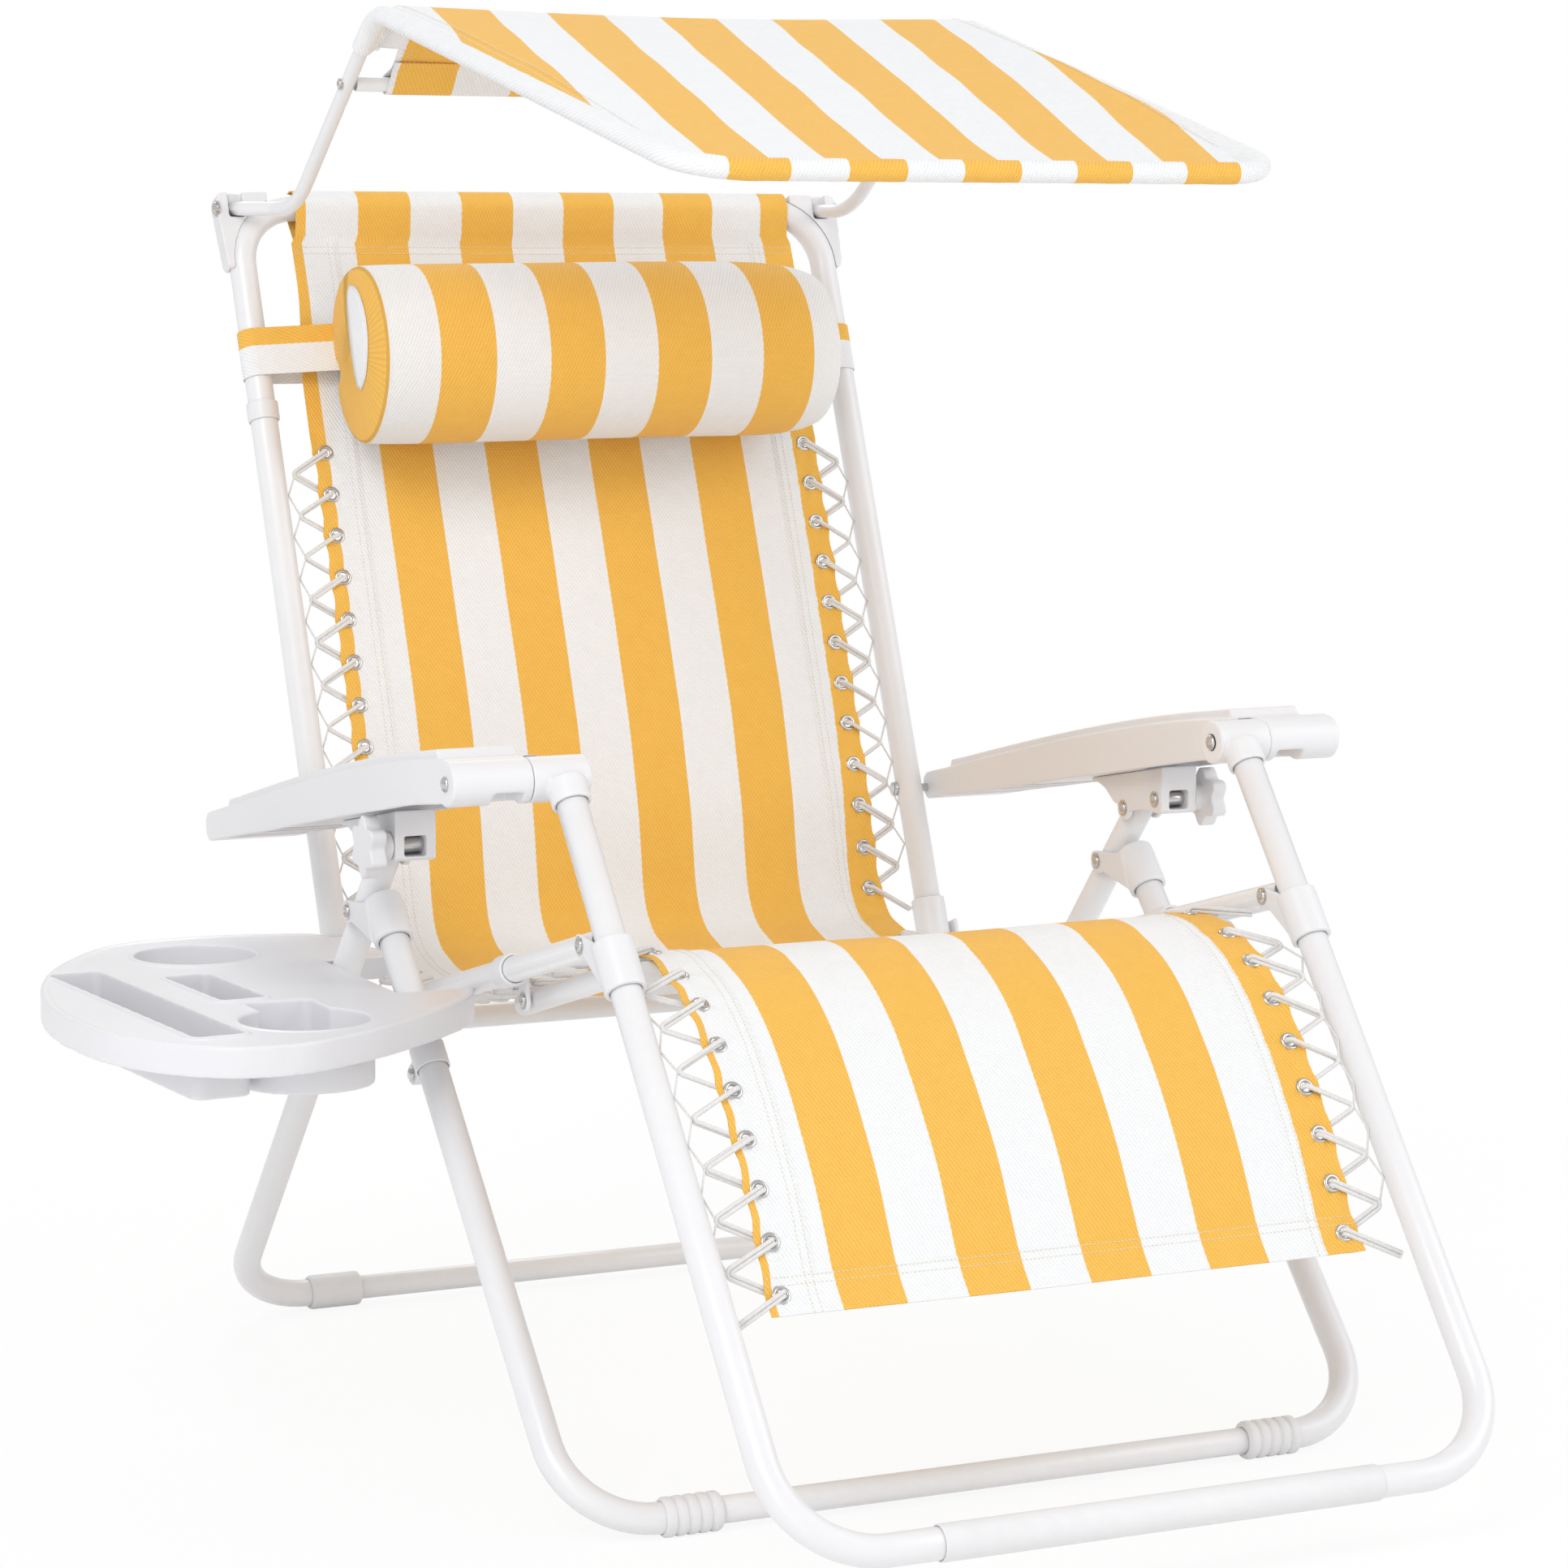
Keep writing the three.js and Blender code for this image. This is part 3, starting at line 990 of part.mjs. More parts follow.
// Tray: a moulded shell with two cup wells and two pockets, notched around the left legs
const trayTop = 388;
const trayDepth = 25;
const trayWall = 3.5;
// Places on the tray are measured out from the left legs' middle
const fromLegs = ([out, y]) => [-legHalfWidth - out, y];
const trayOutline = [
  [-30, -162], [40, -232], [111, -283], [171, -309], [219, -305], [258, -273], [289, -216], [301, -138],
  [294, -32], [269, 54], [217, 150], [156, 212], [96, 224], [15, 212], [-23, 195], [-33, 156],
].map(fromLegs);
const recessToLegs = 19;
const recessReach = legHalfWidth + recessToLegs;
const cupRadius = 52.5;
const cupDepth = 52;
const cupPlaces = [[112, 125], [129, -205]].map(fromLegs);
const pocketDepth = 50;
const pocketPlaces = [[225, -87], [148, -36]].map(fromLegs);
const pocketSizes = [[44, 330], [40, 130]];
const pocketTurn = 3.6;
const pockets = pocketPlaces.map((middle, i) => (
  { middle, size: pocketSizes[i], turn: pocketTurn, depth: pocketDepth }));
// The front well opens into a notch for a mug's handle
const notchSize = [56, 88];
const notchPlace = fromLegs([122, -161]);

function insetOutline(points, distance) {
  return points.map((point, i) => {
    const before = points[(i + points.length - 1) % points.length];
    const after = points[(i + 1) % points.length];
    const a = unit(minus(point, before));
    const b = unit(minus(after, point));
    const along = unit([a[0] + b[0], a[1] + b[1]]);
    return plus(point, [along[1], -along[0]], distance / Math.max(dot(along, a), 0.6));
  });
}
function upward(shape, from, to) {
  const geometry = new THREE.ExtrudeGeometry(shape, { depth: to - from, bevelEnabled: false, curveSegments: 10 });
  return geometry.translate(0, 0, from);
}
function pocketShape({ middle, size, turn }, grow) {
  const half = [size[0] / 2 + grow, size[1] / 2 + grow];
  const corner = size[0] / 5 + grow;
  const c = Math.cos((turn * Math.PI) / 180);
  const s = Math.sin((turn * Math.PI) / 180);
  const rounded = [];
  for (const [sx, sy, base] of [[1, 1, 0], [-1, 1, 90], [-1, -1, 180], [1, -1, 270]]) {
    for (let k = 0; k <= 2; k += 1) {
      const angle = ((base + k * 45) * Math.PI) / 180;
      const a = sx * (half[0] - corner) + corner * Math.cos(angle);
      const b = sy * (half[1] - corner) + corner * Math.sin(angle);
      rounded.push([middle[0] + a * c - b * s, middle[1] + a * s + b * c]);
    }
  }
  return shapeOf(rounded);
}
const legLineAt = (place, run, z) => place[0] + (run[0] / run[1]) * (z - place[1]);
const lean = (run) => Math.hypot(run[0], run[1]) / Math.abs(run[1]);
const recessEdge = (z) => [
  legLineAt(frontBarPlace, frontUp, z) - (legTubeRadius + fitGap) * lean(frontUp),
  legLineAt(armPivot, rearDown, z) + (legTubeRadius + fitGap) * lean(rearDown),
];
const trayFloor = trayTop - trayDepth;
const recessLow = recessEdge(trayFloor - trayDepth);
const recessHigh = recessEdge(trayTop + trayDepth);
const recess = sideExtrude(shapeOf([
  [recessLow[0], trayFloor - trayDepth], [recessLow[1], trayFloor - trayDepth],
  [recessHigh[1], trayTop + trayDepth], [recessHigh[0], trayTop + trayDepth],
]), -recessReach, -legHalfWidth + 2 * (legHalfWidth - armInner));
const innerShape = shapeOf(insetOutline(trayOutline, trayWall));
let tray = toSolid(upward(shapeOf(trayOutline), trayFloor, trayTop));
const hollow = toSolid(upward(innerShape, trayFloor - 1, trayTop - trayWall));
const recessSkin = sideExtrude(shapeOf([
  [recessLow[0] - trayWall * lean(frontUp), trayFloor - trayDepth],
  [recessLow[1] + trayWall * lean(rearDown), trayFloor - trayDepth],
  [recessHigh[1] + trayWall * lean(rearDown), trayTop + trayDepth],
  [recessHigh[0] - trayWall * lean(frontUp), trayTop + trayDepth],
]), -recessReach - trayWall, -legHalfWidth + 2 * (legHalfWidth - armInner));
tray = tray.subtract(hollow.subtract(toSolid(recessSkin)));
const cupShape = ([x, y], radius) => {
  const circle = new THREE.Shape();
  circle.absarc(x, y, radius, 0, 2 * Math.PI);
  return circle;
};
const squareWells = [...pockets, { middle: notchPlace, size: notchSize, turn: 0, depth: cupDepth }];
const wells = [
  ...cupPlaces.map((place) => toSolid(upward(cupShape(place, cupRadius + trayWall), trayTop - cupDepth, trayTop))),
  ...squareWells.map((well) => toSolid(upward(pocketShape(well, trayWall), trayTop - well.depth, trayTop))),
];
tray = wells.reduce((sum, well) => sum.add(well), tray);
const wellRooms = [
  ...cupPlaces.map((place) => upward(cupShape(place, cupRadius), trayTop - cupDepth + trayWall, trayTop + 1)),
  ...squareWells.map((well) => upward(pocketShape(well, 0), trayTop - well.depth + trayWall, trayTop + 1)),
];
tray = cutFrom(tray, [...wellRooms, recess]);
addMesh('tray', toGeometry(tray), whitePlastic);

// The frame's origin: the middle of the whole, at the floor
const bounds = new THREE.Box3().setFromObject(lounger);
const middle = bounds.getCenter(new THREE.Vector3());
for (const mesh of lounger.children) {
  mesh.geometry.translate(-middle.x, -middle.y, 0);
}

export default lounger;
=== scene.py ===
# Folding sun lounger with canopy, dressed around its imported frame
import math

import bmesh
import bpy
import numpy as np
from mathutils import Matrix, Vector


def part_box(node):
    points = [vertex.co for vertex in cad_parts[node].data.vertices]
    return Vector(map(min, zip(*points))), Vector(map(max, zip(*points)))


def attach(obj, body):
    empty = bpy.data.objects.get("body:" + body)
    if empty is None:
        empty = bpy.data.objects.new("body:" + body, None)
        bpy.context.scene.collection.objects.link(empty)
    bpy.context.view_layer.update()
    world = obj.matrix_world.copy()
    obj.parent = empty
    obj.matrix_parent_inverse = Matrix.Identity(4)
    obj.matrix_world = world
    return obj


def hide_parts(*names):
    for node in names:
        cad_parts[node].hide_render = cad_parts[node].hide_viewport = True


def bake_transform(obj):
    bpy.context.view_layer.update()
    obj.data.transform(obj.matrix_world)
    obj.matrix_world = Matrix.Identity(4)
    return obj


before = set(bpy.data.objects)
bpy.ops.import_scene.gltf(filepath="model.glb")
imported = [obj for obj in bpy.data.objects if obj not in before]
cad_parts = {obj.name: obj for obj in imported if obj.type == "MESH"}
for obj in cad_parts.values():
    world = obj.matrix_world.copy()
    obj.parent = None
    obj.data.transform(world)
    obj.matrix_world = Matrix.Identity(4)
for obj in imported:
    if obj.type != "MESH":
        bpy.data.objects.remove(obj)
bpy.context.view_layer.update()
scene = bpy.context.scene
scene.view_settings.view_transform = "Standard"

# Layout, in millimetres from the lounger's middle plane; a side place is (y, z)
layout = {
    "legHalf": 366, "railHalf": 312, "backHalf": 304,
    "legRadius": 12.7, "barRadius": 11, "kneeRadius": 9.5, "canopyRadius": 6.5, "gap": 0.3,
    "armPivot": (-50, 494), "scissor": (-2, 439), "armFront": (-296, 583), "armRear": (293, 474),
    "seatFront": (-374.2, 461), "seatRear": (221.6, 300.5), "footTop": (-311, 580), "footBar": (-725, 58),
    "backBar": (507.3, 1033), "canopyPivot": (501, 1032), "floorBar": 15.1, "frontBar": -447,
    "kneePivot": (-198, 387), "kneeBar": (-356, 432),
}


def middleOf(node):
    low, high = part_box(node)
    return (low + high) / 2


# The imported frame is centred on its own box, so its offset comes from two nodes whose places are known
shift = np.array([middleOf("back_tube").x, middleOf("canopy_crossbar").y - 0.236, 0])


def inFrame(points):
    return np.asarray(points, float) / 1000 + shift


def unit(p):
    return (p[0] / math.hypot(*p), p[1] / math.hypot(*p))


def step(p, d, t):
    return (p[0] + d[0] * t, p[1] + d[1] * t)


def between(p, q):
    return (q[0] - p[0], q[1] - p[1])


def dot(p, q):
    return p[0] * q[0] + p[1] * q[1]


def side(x, p):
    return Vector((x, p[0], p[1]))


# Camera, floor and light
def makeCamera():
    right = Vector((0.90137, -0.43303, 0.00399))
    ahead = Vector((0.43004, 0.89398, -0.12596)).normalized()
    up = right.cross(ahead).normalized()
    right = ahead.cross(up)
    camera = bpy.data.objects.new("camera", bpy.data.cameras.new("camera"))
    turn = Matrix((right, up, -ahead)).transposed().to_4x4()
    camera.matrix_world = Matrix.Translation(inFrame((-1689.28, -3569.45, 1029.72))) @ turn
    camera.data.sensor_width = 36
    camera.data.lens = 36 * 5534.85 / 1932
    camera.data.shift_x = 0.00096
    camera.data.shift_y = -0.0002
    camera.data.clip_start = 0.05
    scene.collection.objects.link(camera)
    scene.camera = camera


def addLamp(name, energy, size, at, aim):
    lamp = bpy.data.lights.new(name, "AREA")
    lamp.energy = energy
    lamp.shape = "DISK"
    lamp.size = size
    obj = bpy.data.objects.new(name, lamp)
    obj.location = at
    obj.rotation_euler = (Vector(aim) - Vector(at)).to_track_quat("-Z", "Y").to_euler()
    scene.collection.objects.link(obj)


studio = {
    "world": 0.74, "floorSize": 14, "floorTint": 0.95, "glow": 0.88, "nearFloor": 0.9, "farFloor": 2.4,
    "lamps": [("keyLamp", 60, 2.2, (-2.6, -2.4, 3.4), (0.1, 0, 0.5)),
              ("fillLamp", 38, 3.0, (3.2, -2.0, 2.2), (0.1, 0, 0.5)),
              ("lowLamp", 18, 2.4, (-3.0, -3.4, 1.0), (0.1, 0, 0.5)),
              ("rimLamp", 26, 2.0, (0.8, 3.2, 3.0), (0.1, 0, 0.6))],
}


def seenBy(nodes, links, ray):
    # 1 for a ray straight from the camera, and for a ray of the kind that is named
    path, seen = nodes.new("ShaderNodeLightPath"), nodes.new("ShaderNodeMath")
    seen.operation = "MAXIMUM"
    links.new(path.outputs["Is Camera Ray"], seen.inputs[0])
    links.new(path.outputs[ray], seen.inputs[1])
    return seen.outputs[0]


def makeWorld():
    world = bpy.data.worlds.new("studio")
    scene.world = world
    world.use_nodes = True
    nodes, links = world.node_tree.nodes, world.node_tree.links
    plain = nodes["Background"]
    plain.inputs["Color"].default_value = (1, 1, 1, 1)
    plain.inputs["Strength"].default_value = studio["world"]
    bright = nodes.new("ShaderNodeBackground")
    bright.inputs["Color"].default_value = (1, 1, 1, 1)
    bright.inputs["Strength"].default_value = 1
    mix = nodes.new("ShaderNodeMixShader")
    links.new(seenBy(nodes, links, "Is Transmission Ray"), mix.inputs["Fac"])
    links.new(plain.outputs[0], mix.inputs[1])
    links.new(bright.outputs[0], mix.inputs[2])
    links.new(mix.outputs[0], nodes["World Output"].inputs["Surface"])


def makeFloor():
    half, under = studio["floorSize"] / 2, -0.0005
    mesh = bpy.data.meshes.new("floor")
    mesh.from_pydata([(-half, -half, under), (half, -half, under), (half, half, under), (-half, half, under)],
                     [], [(0, 1, 2, 3)])
    floor = bpy.data.objects.new("floor", mesh)
    scene.collection.objects.link(floor)
    paint = bpy.data.materials.new("paleFloor")
    paint.use_nodes = True
    nodes, links = paint.node_tree.nodes, paint.node_tree.links
    shader = nodes["Principled BSDF"]
    tint = studio["floorTint"]
    shader.inputs["Base Color"].default_value = (tint, tint, tint, 1)
    shader.inputs["Roughness"].default_value = 0.9
    shader.inputs["Specular IOR Level"].default_value = 0.1
    glow, mix = nodes.new("ShaderNodeEmission"), nodes.new("ShaderNodeMixShader")
    # Round the lounger the floor keeps a faint shadow, and further out it turns plain white
    place, far = nodes.new("ShaderNodeTexCoord"), nodes.new("ShaderNodeVectorMath")
    fade, share = nodes.new("ShaderNodeMapRange"), nodes.new("ShaderNodeMath")
    far.operation, share.operation = "LENGTH", "MULTIPLY"
    for name, value in (("From Min", studio["nearFloor"]), ("From Max", studio["farFloor"]),
                        ("To Min", studio["glow"]), ("To Max", 1.0)):
        fade.inputs[name].default_value = value
    links.new(place.outputs["Object"], far.inputs[0])
    links.new(far.outputs["Value"], fade.inputs["Value"])
    links.new(seenBy(nodes, links, "Is Glossy Ray"), share.inputs[0])
    links.new(fade.outputs["Result"], share.inputs[1])
    links.new(share.outputs[0], mix.inputs["Fac"])
    links.new(shader.outputs[0], mix.inputs[1])
    links.new(glow.outputs[0], mix.inputs[2])
    links.new(mix.outputs[0], nodes["Material Output"].inputs["Surface"])
    mesh.materials.append(paint)


makeCamera()
makeWorld()
makeFloor()
for lamp in studio["lamps"]:
    addLamp(*lamp)
print("camera, floor and lamps are set")


# Shader groups shared by several finishes
def newGroup(name, inputs, outputs):
    group = bpy.data.node_groups.new(name, "ShaderNodeTree")
    for label, kind, value in inputs:
        socket = group.interface.new_socket(label, in_out="INPUT", socket_type=kind)
        if value is not None:
            socket.default_value = value
    for label, kind in outputs:
        group.interface.new_socket(label, in_out="OUTPUT", socket_type=kind)
    return group, group.nodes.new("NodeGroupInput"), group.nodes.new("NodeGroupOutput")


def maths(tree, operation, a, b=None, c=None):
    node = tree.nodes.new("ShaderNodeMath")
    node.operation = operation
    for i, value in enumerate((a, b, c)):
        if value is None:
            continue
        if isinstance(value, (int, float)):
            node.inputs[i].default_value = value
        else:
            tree.links.new(value, node.inputs[i])
    return node.outputs[0]


def mixColour(tree, factor, a, b, blend="MIX"):
    node = tree.nodes.new("ShaderNodeMix")
    node.data_type = "RGBA"
    node.blend_type = blend
    for socket, value in ((node.inputs[0], factor), (node.inputs[6], a), (node.inputs[7], b)):
        if isinstance(value, (int, float)):
            socket.default_value = value
        elif isinstance(value, tuple):
            socket.default_value = value
        else:
            tree.links.new(value, socket)
    return node.outputs[2]


def noiseAt(tree, vector, scale, detail=3, rough=0.5):
    node = tree.nodes.new("ShaderNodeTexNoise")
    node.inputs["Scale"].default_value = scale
    node.inputs["Detail"].default_value = detail
    node.inputs["Roughness"].default_value = rough
    tree.links.new(vector, node.inputs["Vector"])
    return node.outputs["Fac"]



def makeWeave():
    # Threads over and under along the piece's own UV map, in metres, drawn in diagonal steps
    group, given, out = newGroup(
        "twillWeave",
        [("UV", "NodeSocketVector", None), ("Thread", "NodeSocketFloat", 0.0011), ("Slub", "NodeSocketFloat", 0.5)],
        [("Height", "NodeSocketFloat"), ("Shade", "NodeSocketFloat")])
    split = group.nodes.new("ShaderNodeSeparateXYZ")
    group.links.new(given.outputs["UV"], split.inputs[0])
    across = maths(group, "DIVIDE", split.outputs[0], given.outputs["Thread"])
    along = maths(group, "DIVIDE", split.outputs[1], given.outputs["Thread"])
    diagonal = maths(group, "MULTIPLY_ADD", along, 0.5, across)
    rib = maths(group, "ABSOLUTE", maths(group, "SINE", maths(group, "MULTIPLY", diagonal, math.pi / 2)))
    weft = maths(group, "ABSOLUTE", maths(group, "SINE", maths(group, "MULTIPLY", along, math.pi)))
    height = maths(group, "MULTIPLY_ADD", rib, 0.62, maths(group, "MULTIPLY", weft, 0.38))
    grain = noiseAt(group, given.outputs["UV"], 420, 2)
    slub = noiseAt(group, given.outputs["UV"], 60, 4, 0.6)
    group.links.new(maths(group, "MULTIPLY_ADD", grain, 0.5, height), out.inputs["Height"])
    soft = maths(group, "MULTIPLY_ADD", maths(group, "SUBTRACT", slub, 0.5), given.outputs["Slub"], height)
    group.links.new(maths(group, "MULTIPLY_ADD", grain, 0.25, soft), out.inputs["Shade"])
    return group


def makeGrain():
    # Fine moulding grain and the faint mottling that pale plastic and powder coat have
    group, given, out = newGroup(
        "fineGrain",
        [("Place", "NodeSocketVector", None), ("Scale", "NodeSocketFloat", 900), ("Mottle", "NodeSocketFloat", 6)],
        [("Height", "NodeSocketFloat"), ("Mottling", "NodeSocketFloat")])
    grain = group.nodes.new("ShaderNodeTexNoise")
    grain.inputs["Detail"].default_value = 2
    group.links.new(given.outputs["Place"], grain.inputs["Vector"])
    group.links.new(given.outputs["Scale"], grain.inputs["Scale"])
    mottle = group.nodes.new("ShaderNodeTexNoise")
    mottle.inputs["Detail"].default_value = 4
    group.links.new(given.outputs["Place"], mottle.inputs["Vector"])
    group.links.new(given.outputs["Mottle"], mottle.inputs["Scale"])
    group.links.new(grain.outputs["Fac"], out.inputs["Height"])
    group.links.new(mottle.outputs["Fac"], out.inputs["Mottling"])
    return group


def makePaintedEdgeHighlight():
    # A painted highlight: a mask that is bright on convex outer edges, from how the surface bends, broken up by patchy
    # noise
    group, given, out = newGroup(
        "paintedEdgeHighlight", [("Place", "NodeSocketVector", None), ("Amount", "NodeSocketFloat", 0.5)],
        [("Mask", "NodeSocketFloat")])
    geometry = group.nodes.new("ShaderNodeNewGeometry")
    patchy = noiseAt(group, given.outputs["Place"], 90, 4, 0.6)
    raised = maths(group, "SUBTRACT", geometry.outputs["Pointiness"], 0.52)
    mask = maths(group, "MULTIPLY", maths(group, "MULTIPLY", raised, 14), patchy)
    clean = group.nodes.new("ShaderNodeClamp")
    group.links.new(maths(group, "MULTIPLY", mask, given.outputs["Amount"]), clean.inputs[0])
    group.links.new(clean.outputs[0], out.inputs["Mask"])
    return group


# The "wear" group paints a highlight on convex edges
shared = {"weave": makeWeave(), "grain": makeGrain(), "wear": makePaintedEdgeHighlight()}


def newPaint(name, roughness):
    paint = bpy.data.materials.new(name)
    paint.use_nodes = True
    tree = paint.node_tree
    shader = tree.nodes["Principled BSDF"]
    shader.inputs["Roughness"].default_value = roughness
    return paint, tree, shader


def placed(tree, kind, vector, **values):
    node = tree.nodes.new("ShaderNodeGroup")
    node.node_tree = shared[kind]
    for label, value in values.items():
        node.inputs[label].default_value = value
    tree.links.new(vector, node.inputs[0])
    return node


def bumpFrom(tree, shader, height, distance, strength):
    bump = tree.nodes.new("ShaderNodeBump")
    bump.inputs["Distance"].default_value = distance
    bump.inputs["Strength"].default_value = strength
    tree.links.new(height, bump.inputs["Height"])
    tree.links.new(bump.outputs[0], shader.inputs["Normal"])


def palePaint(name, colour, roughness, grainScale, grainDepth, coat):
    paint, tree, shader = newPaint(name, roughness)
    coords = tree.nodes.new("ShaderNodeTexCoord").outputs["Object"]
    grain = placed(tree, "grain", coords, Scale=grainScale, Mottle=9)
    # Painted highlight: the edge mask lightens convex edges towards near-white
    wear = placed(tree, "wear", coords, Amount=0.5)
    dull = tuple(c * 0.93 for c in colour)
    tone = mixColour(tree, grain.outputs["Mottling"], (*dull, 1), (*colour, 1))
    tree.links.new(mixColour(tree, wear.outputs["Mask"], tone, (0.97, 0.97, 0.96, 1)), shader.inputs["Base Color"])
    rough = maths(tree, "MULTIPLY_ADD", grain.outputs["Mottling"], 0.18, roughness - 0.09)
    tree.links.new(rough, shader.inputs["Roughness"])
    shader.inputs["Coat Weight"].default_value = coat
    shader.inputs["Coat Roughness"].default_value = 0.2
    bumpFrom(tree, shader, grain.outputs["Height"], grainDepth, 0.5)
    return paint


def steelPaint(name, colour, roughness):
    paint, tree, shader = newPaint(name, roughness)
    coords = tree.nodes.new("ShaderNodeTexCoord").outputs["Object"]
    grain = placed(tree, "grain", coords, Scale=1400.0, Mottle=120)
    worn = tuple(c * 0.72 for c in colour)
    tree.links.new(mixColour(tree, grain.outputs["Mottling"], (*worn, 1), (*colour, 1)), shader.inputs["Base Color"])
    shader.inputs["Metallic"].default_value = 1
    rough = maths(tree, "MULTIPLY_ADD", grain.outputs["Mottling"], 0.16, roughness)
    tree.links.new(rough, shader.inputs["Roughness"])
    bumpFrom(tree, shader, grain.outputs["Height"], 0.00005, 0.4)
    return paint


cloth = {
    "yellow": (0.9, 0.525, 0.105), "yellowDeep": (0.78, 0.4, 0.05), "white": (0.88, 0.89, 0.905),
    "whiteDeep": (0.77, 0.775, 0.785), "stripe": 0.0538, "start": -0.256, "thread": 0.0017,
}


def stripeU(count):
    # Where on the UV map a stripe starts: at an even count it is white, and at an odd one yellow
    return count * cloth["stripe"] + cloth["start"]


def stripedPaint(name, striped):
    # The UV map is in metres: U across the cloth, V along it. Stripes run along V.
    paint, tree, shader = newPaint(name, 0.88)
    uv = tree.nodes.new("ShaderNodeUVMap")
    uv.uv_map = "weave"
    weave = placed(tree, "weave", uv.outputs[0], Thread=cloth["thread"], Slub=0.5)
    split = tree.nodes.new("ShaderNodeSeparateXYZ")
    tree.links.new(uv.outputs[0], split.inputs[0])
    count = maths(tree, "DIVIDE", maths(tree, "SUBTRACT", split.outputs[0], cloth["start"]), 2 * cloth["stripe"])
    wave = maths(tree, "FRACT", count)
    fuzz = maths(tree, "MULTIPLY", maths(tree, "SUBTRACT", weave.outputs["Height"], 0.5), 0.008)
    isYellow = maths(tree, "GREATER_THAN", maths(tree, "ADD", wave, fuzz), 0.5)
    shade = tree.nodes.new("ShaderNodeClamp")
    tree.links.new(weave.outputs["Shade"], shade.inputs[0])
    whiteTone = mixColour(tree, shade.outputs[0], (*cloth["whiteDeep"], 1), (*cloth["white"], 1))
    yellowTone = mixColour(tree, shade.outputs[0], (*cloth["yellowDeep"], 1), (*cloth["yellow"], 1))
    tone = mixColour(tree, isYellow, whiteTone, yellowTone) if striped else whiteTone
    tree.links.new(tone, shader.inputs["Base Color"])
    shader.inputs["Sheen Weight"].default_value = 0.12
    shader.inputs["Sheen Roughness"].default_value = 0.5
    shader.inputs["Specular IOR Level"].default_value = 0.25
    bumpFrom(tree, shader, weave.outputs["Height"], 0.0007, 0.7)
    return paint


def threadPaint(name, colour):
    paint, tree, shader = newPaint(name, 0.75)
    coords = tree.nodes.new("ShaderNodeTexCoord").outputs["Object"]
    grain = placed(tree, "grain", coords, Scale=1800.0, Mottle=300)
    dark = tuple(c * 0.8 for c in colour)
    tree.links.new(mixColour(tree, grain.outputs["Mottling"], (*dark, 1), (*colour, 1)), shader.inputs["Base Color"])
    shader.inputs["Sheen Weight"].default_value = 0.1
    bumpFrom(tree, shader, grain.outputs["Height"], 0.0002, 0.7)
    return paint


finish = {
    "tube": palePaint("whitePowderCoat", (0.83, 0.83, 0.85), 0.34, 700.0, 0.00006, 0.35),
    "plastic": palePaint("whiteMouldedPlastic", (0.81, 0.81, 0.83), 0.42, 1500.0, 0.00008, 0.12),
    "sleeve": palePaint("whiteSoftPlastic", (0.79, 0.79, 0.81), 0.5, 1500.0, 0.0001, 0.0),
    "tray": palePaint("trayPlastic", (0.80, 0.80, 0.83), 0.4, 1700.0, 0.00006, 0.15),
    "steel": steelPaint("brightSteel", (0.72, 0.71, 0.7), 0.12),
    "sling": stripedPaint("slingCloth", striped=True),
    "plain": stripedPaint("plainCloth", striped=False),
    "cord": threadPaint("elasticCord", (0.83, 0.82, 0.81)),
    "thread": threadPaint("sewingThread", (0.86, 0.8, 0.66)),
}
print("finishes are ready")


# Mesh making
def makePiece(name, points, faces, uvs=None, smooth=True, sharp=None):
    mesh = bpy.data.meshes.new(name)
    mesh.from_pydata(inFrame(points).tolist(), [], faces)
    if uvs is not None:
        layer = mesh.uv_layers.new(name="weave")
        corners = np.empty(len(mesh.loops), int)
        mesh.loops.foreach_get("vertex_index", corners)
        layer.data.foreach_set("uv", np.asarray(uvs, float)[corners].ravel())
    if smooth:
        mesh.polygons.foreach_set("use_smooth", [True] * len(mesh.polygons))
    mesh.update()
    obj = bpy.data.objects.new(name, mesh)
    scene.collection.objects.link(obj)
    if sharp:
        mesh.set_sharp_from_angle(angle=math.radians(sharp))
    return obj


def settle(obj):
    # Applies the live modifiers, and leaves a plain mesh
    bpy.context.view_layer.update()
    depsgraph = bpy.context.evaluated_depsgraph_get()
    mesh = bpy.data.meshes.new_from_object(obj.evaluated_get(depsgraph))
    obj.modifiers.clear()
    obj.data = mesh
    return obj


def faceOut(obj):
    work = bmesh.new()
    work.from_mesh(obj.data)
    bmesh.ops.recalc_face_normals(work, faces=work.faces)
    work.to_mesh(obj.data)
    work.free()
    return obj


def smoothed(obj, angle):
    obj.data.polygons.foreach_set("use_smooth", [True] * len(obj.data.polygons))
    obj.data.set_sharp_from_angle(angle=math.radians(angle))
    return obj


def thicken(obj, thickness):
    body = obj.modifiers.new("body", "SOLIDIFY")
    body.thickness = thickness / 1000
    body.offset = 0
    return settle(obj)


def wear(obj, material, body, slot, *nodes):
    obj.data.materials.clear()
    obj.data.materials.append(finish[material])
    if nodes:
        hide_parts(*nodes)
    if isinstance(body, str):
        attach(obj, body)
    else:
        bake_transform(obj)
    return obj


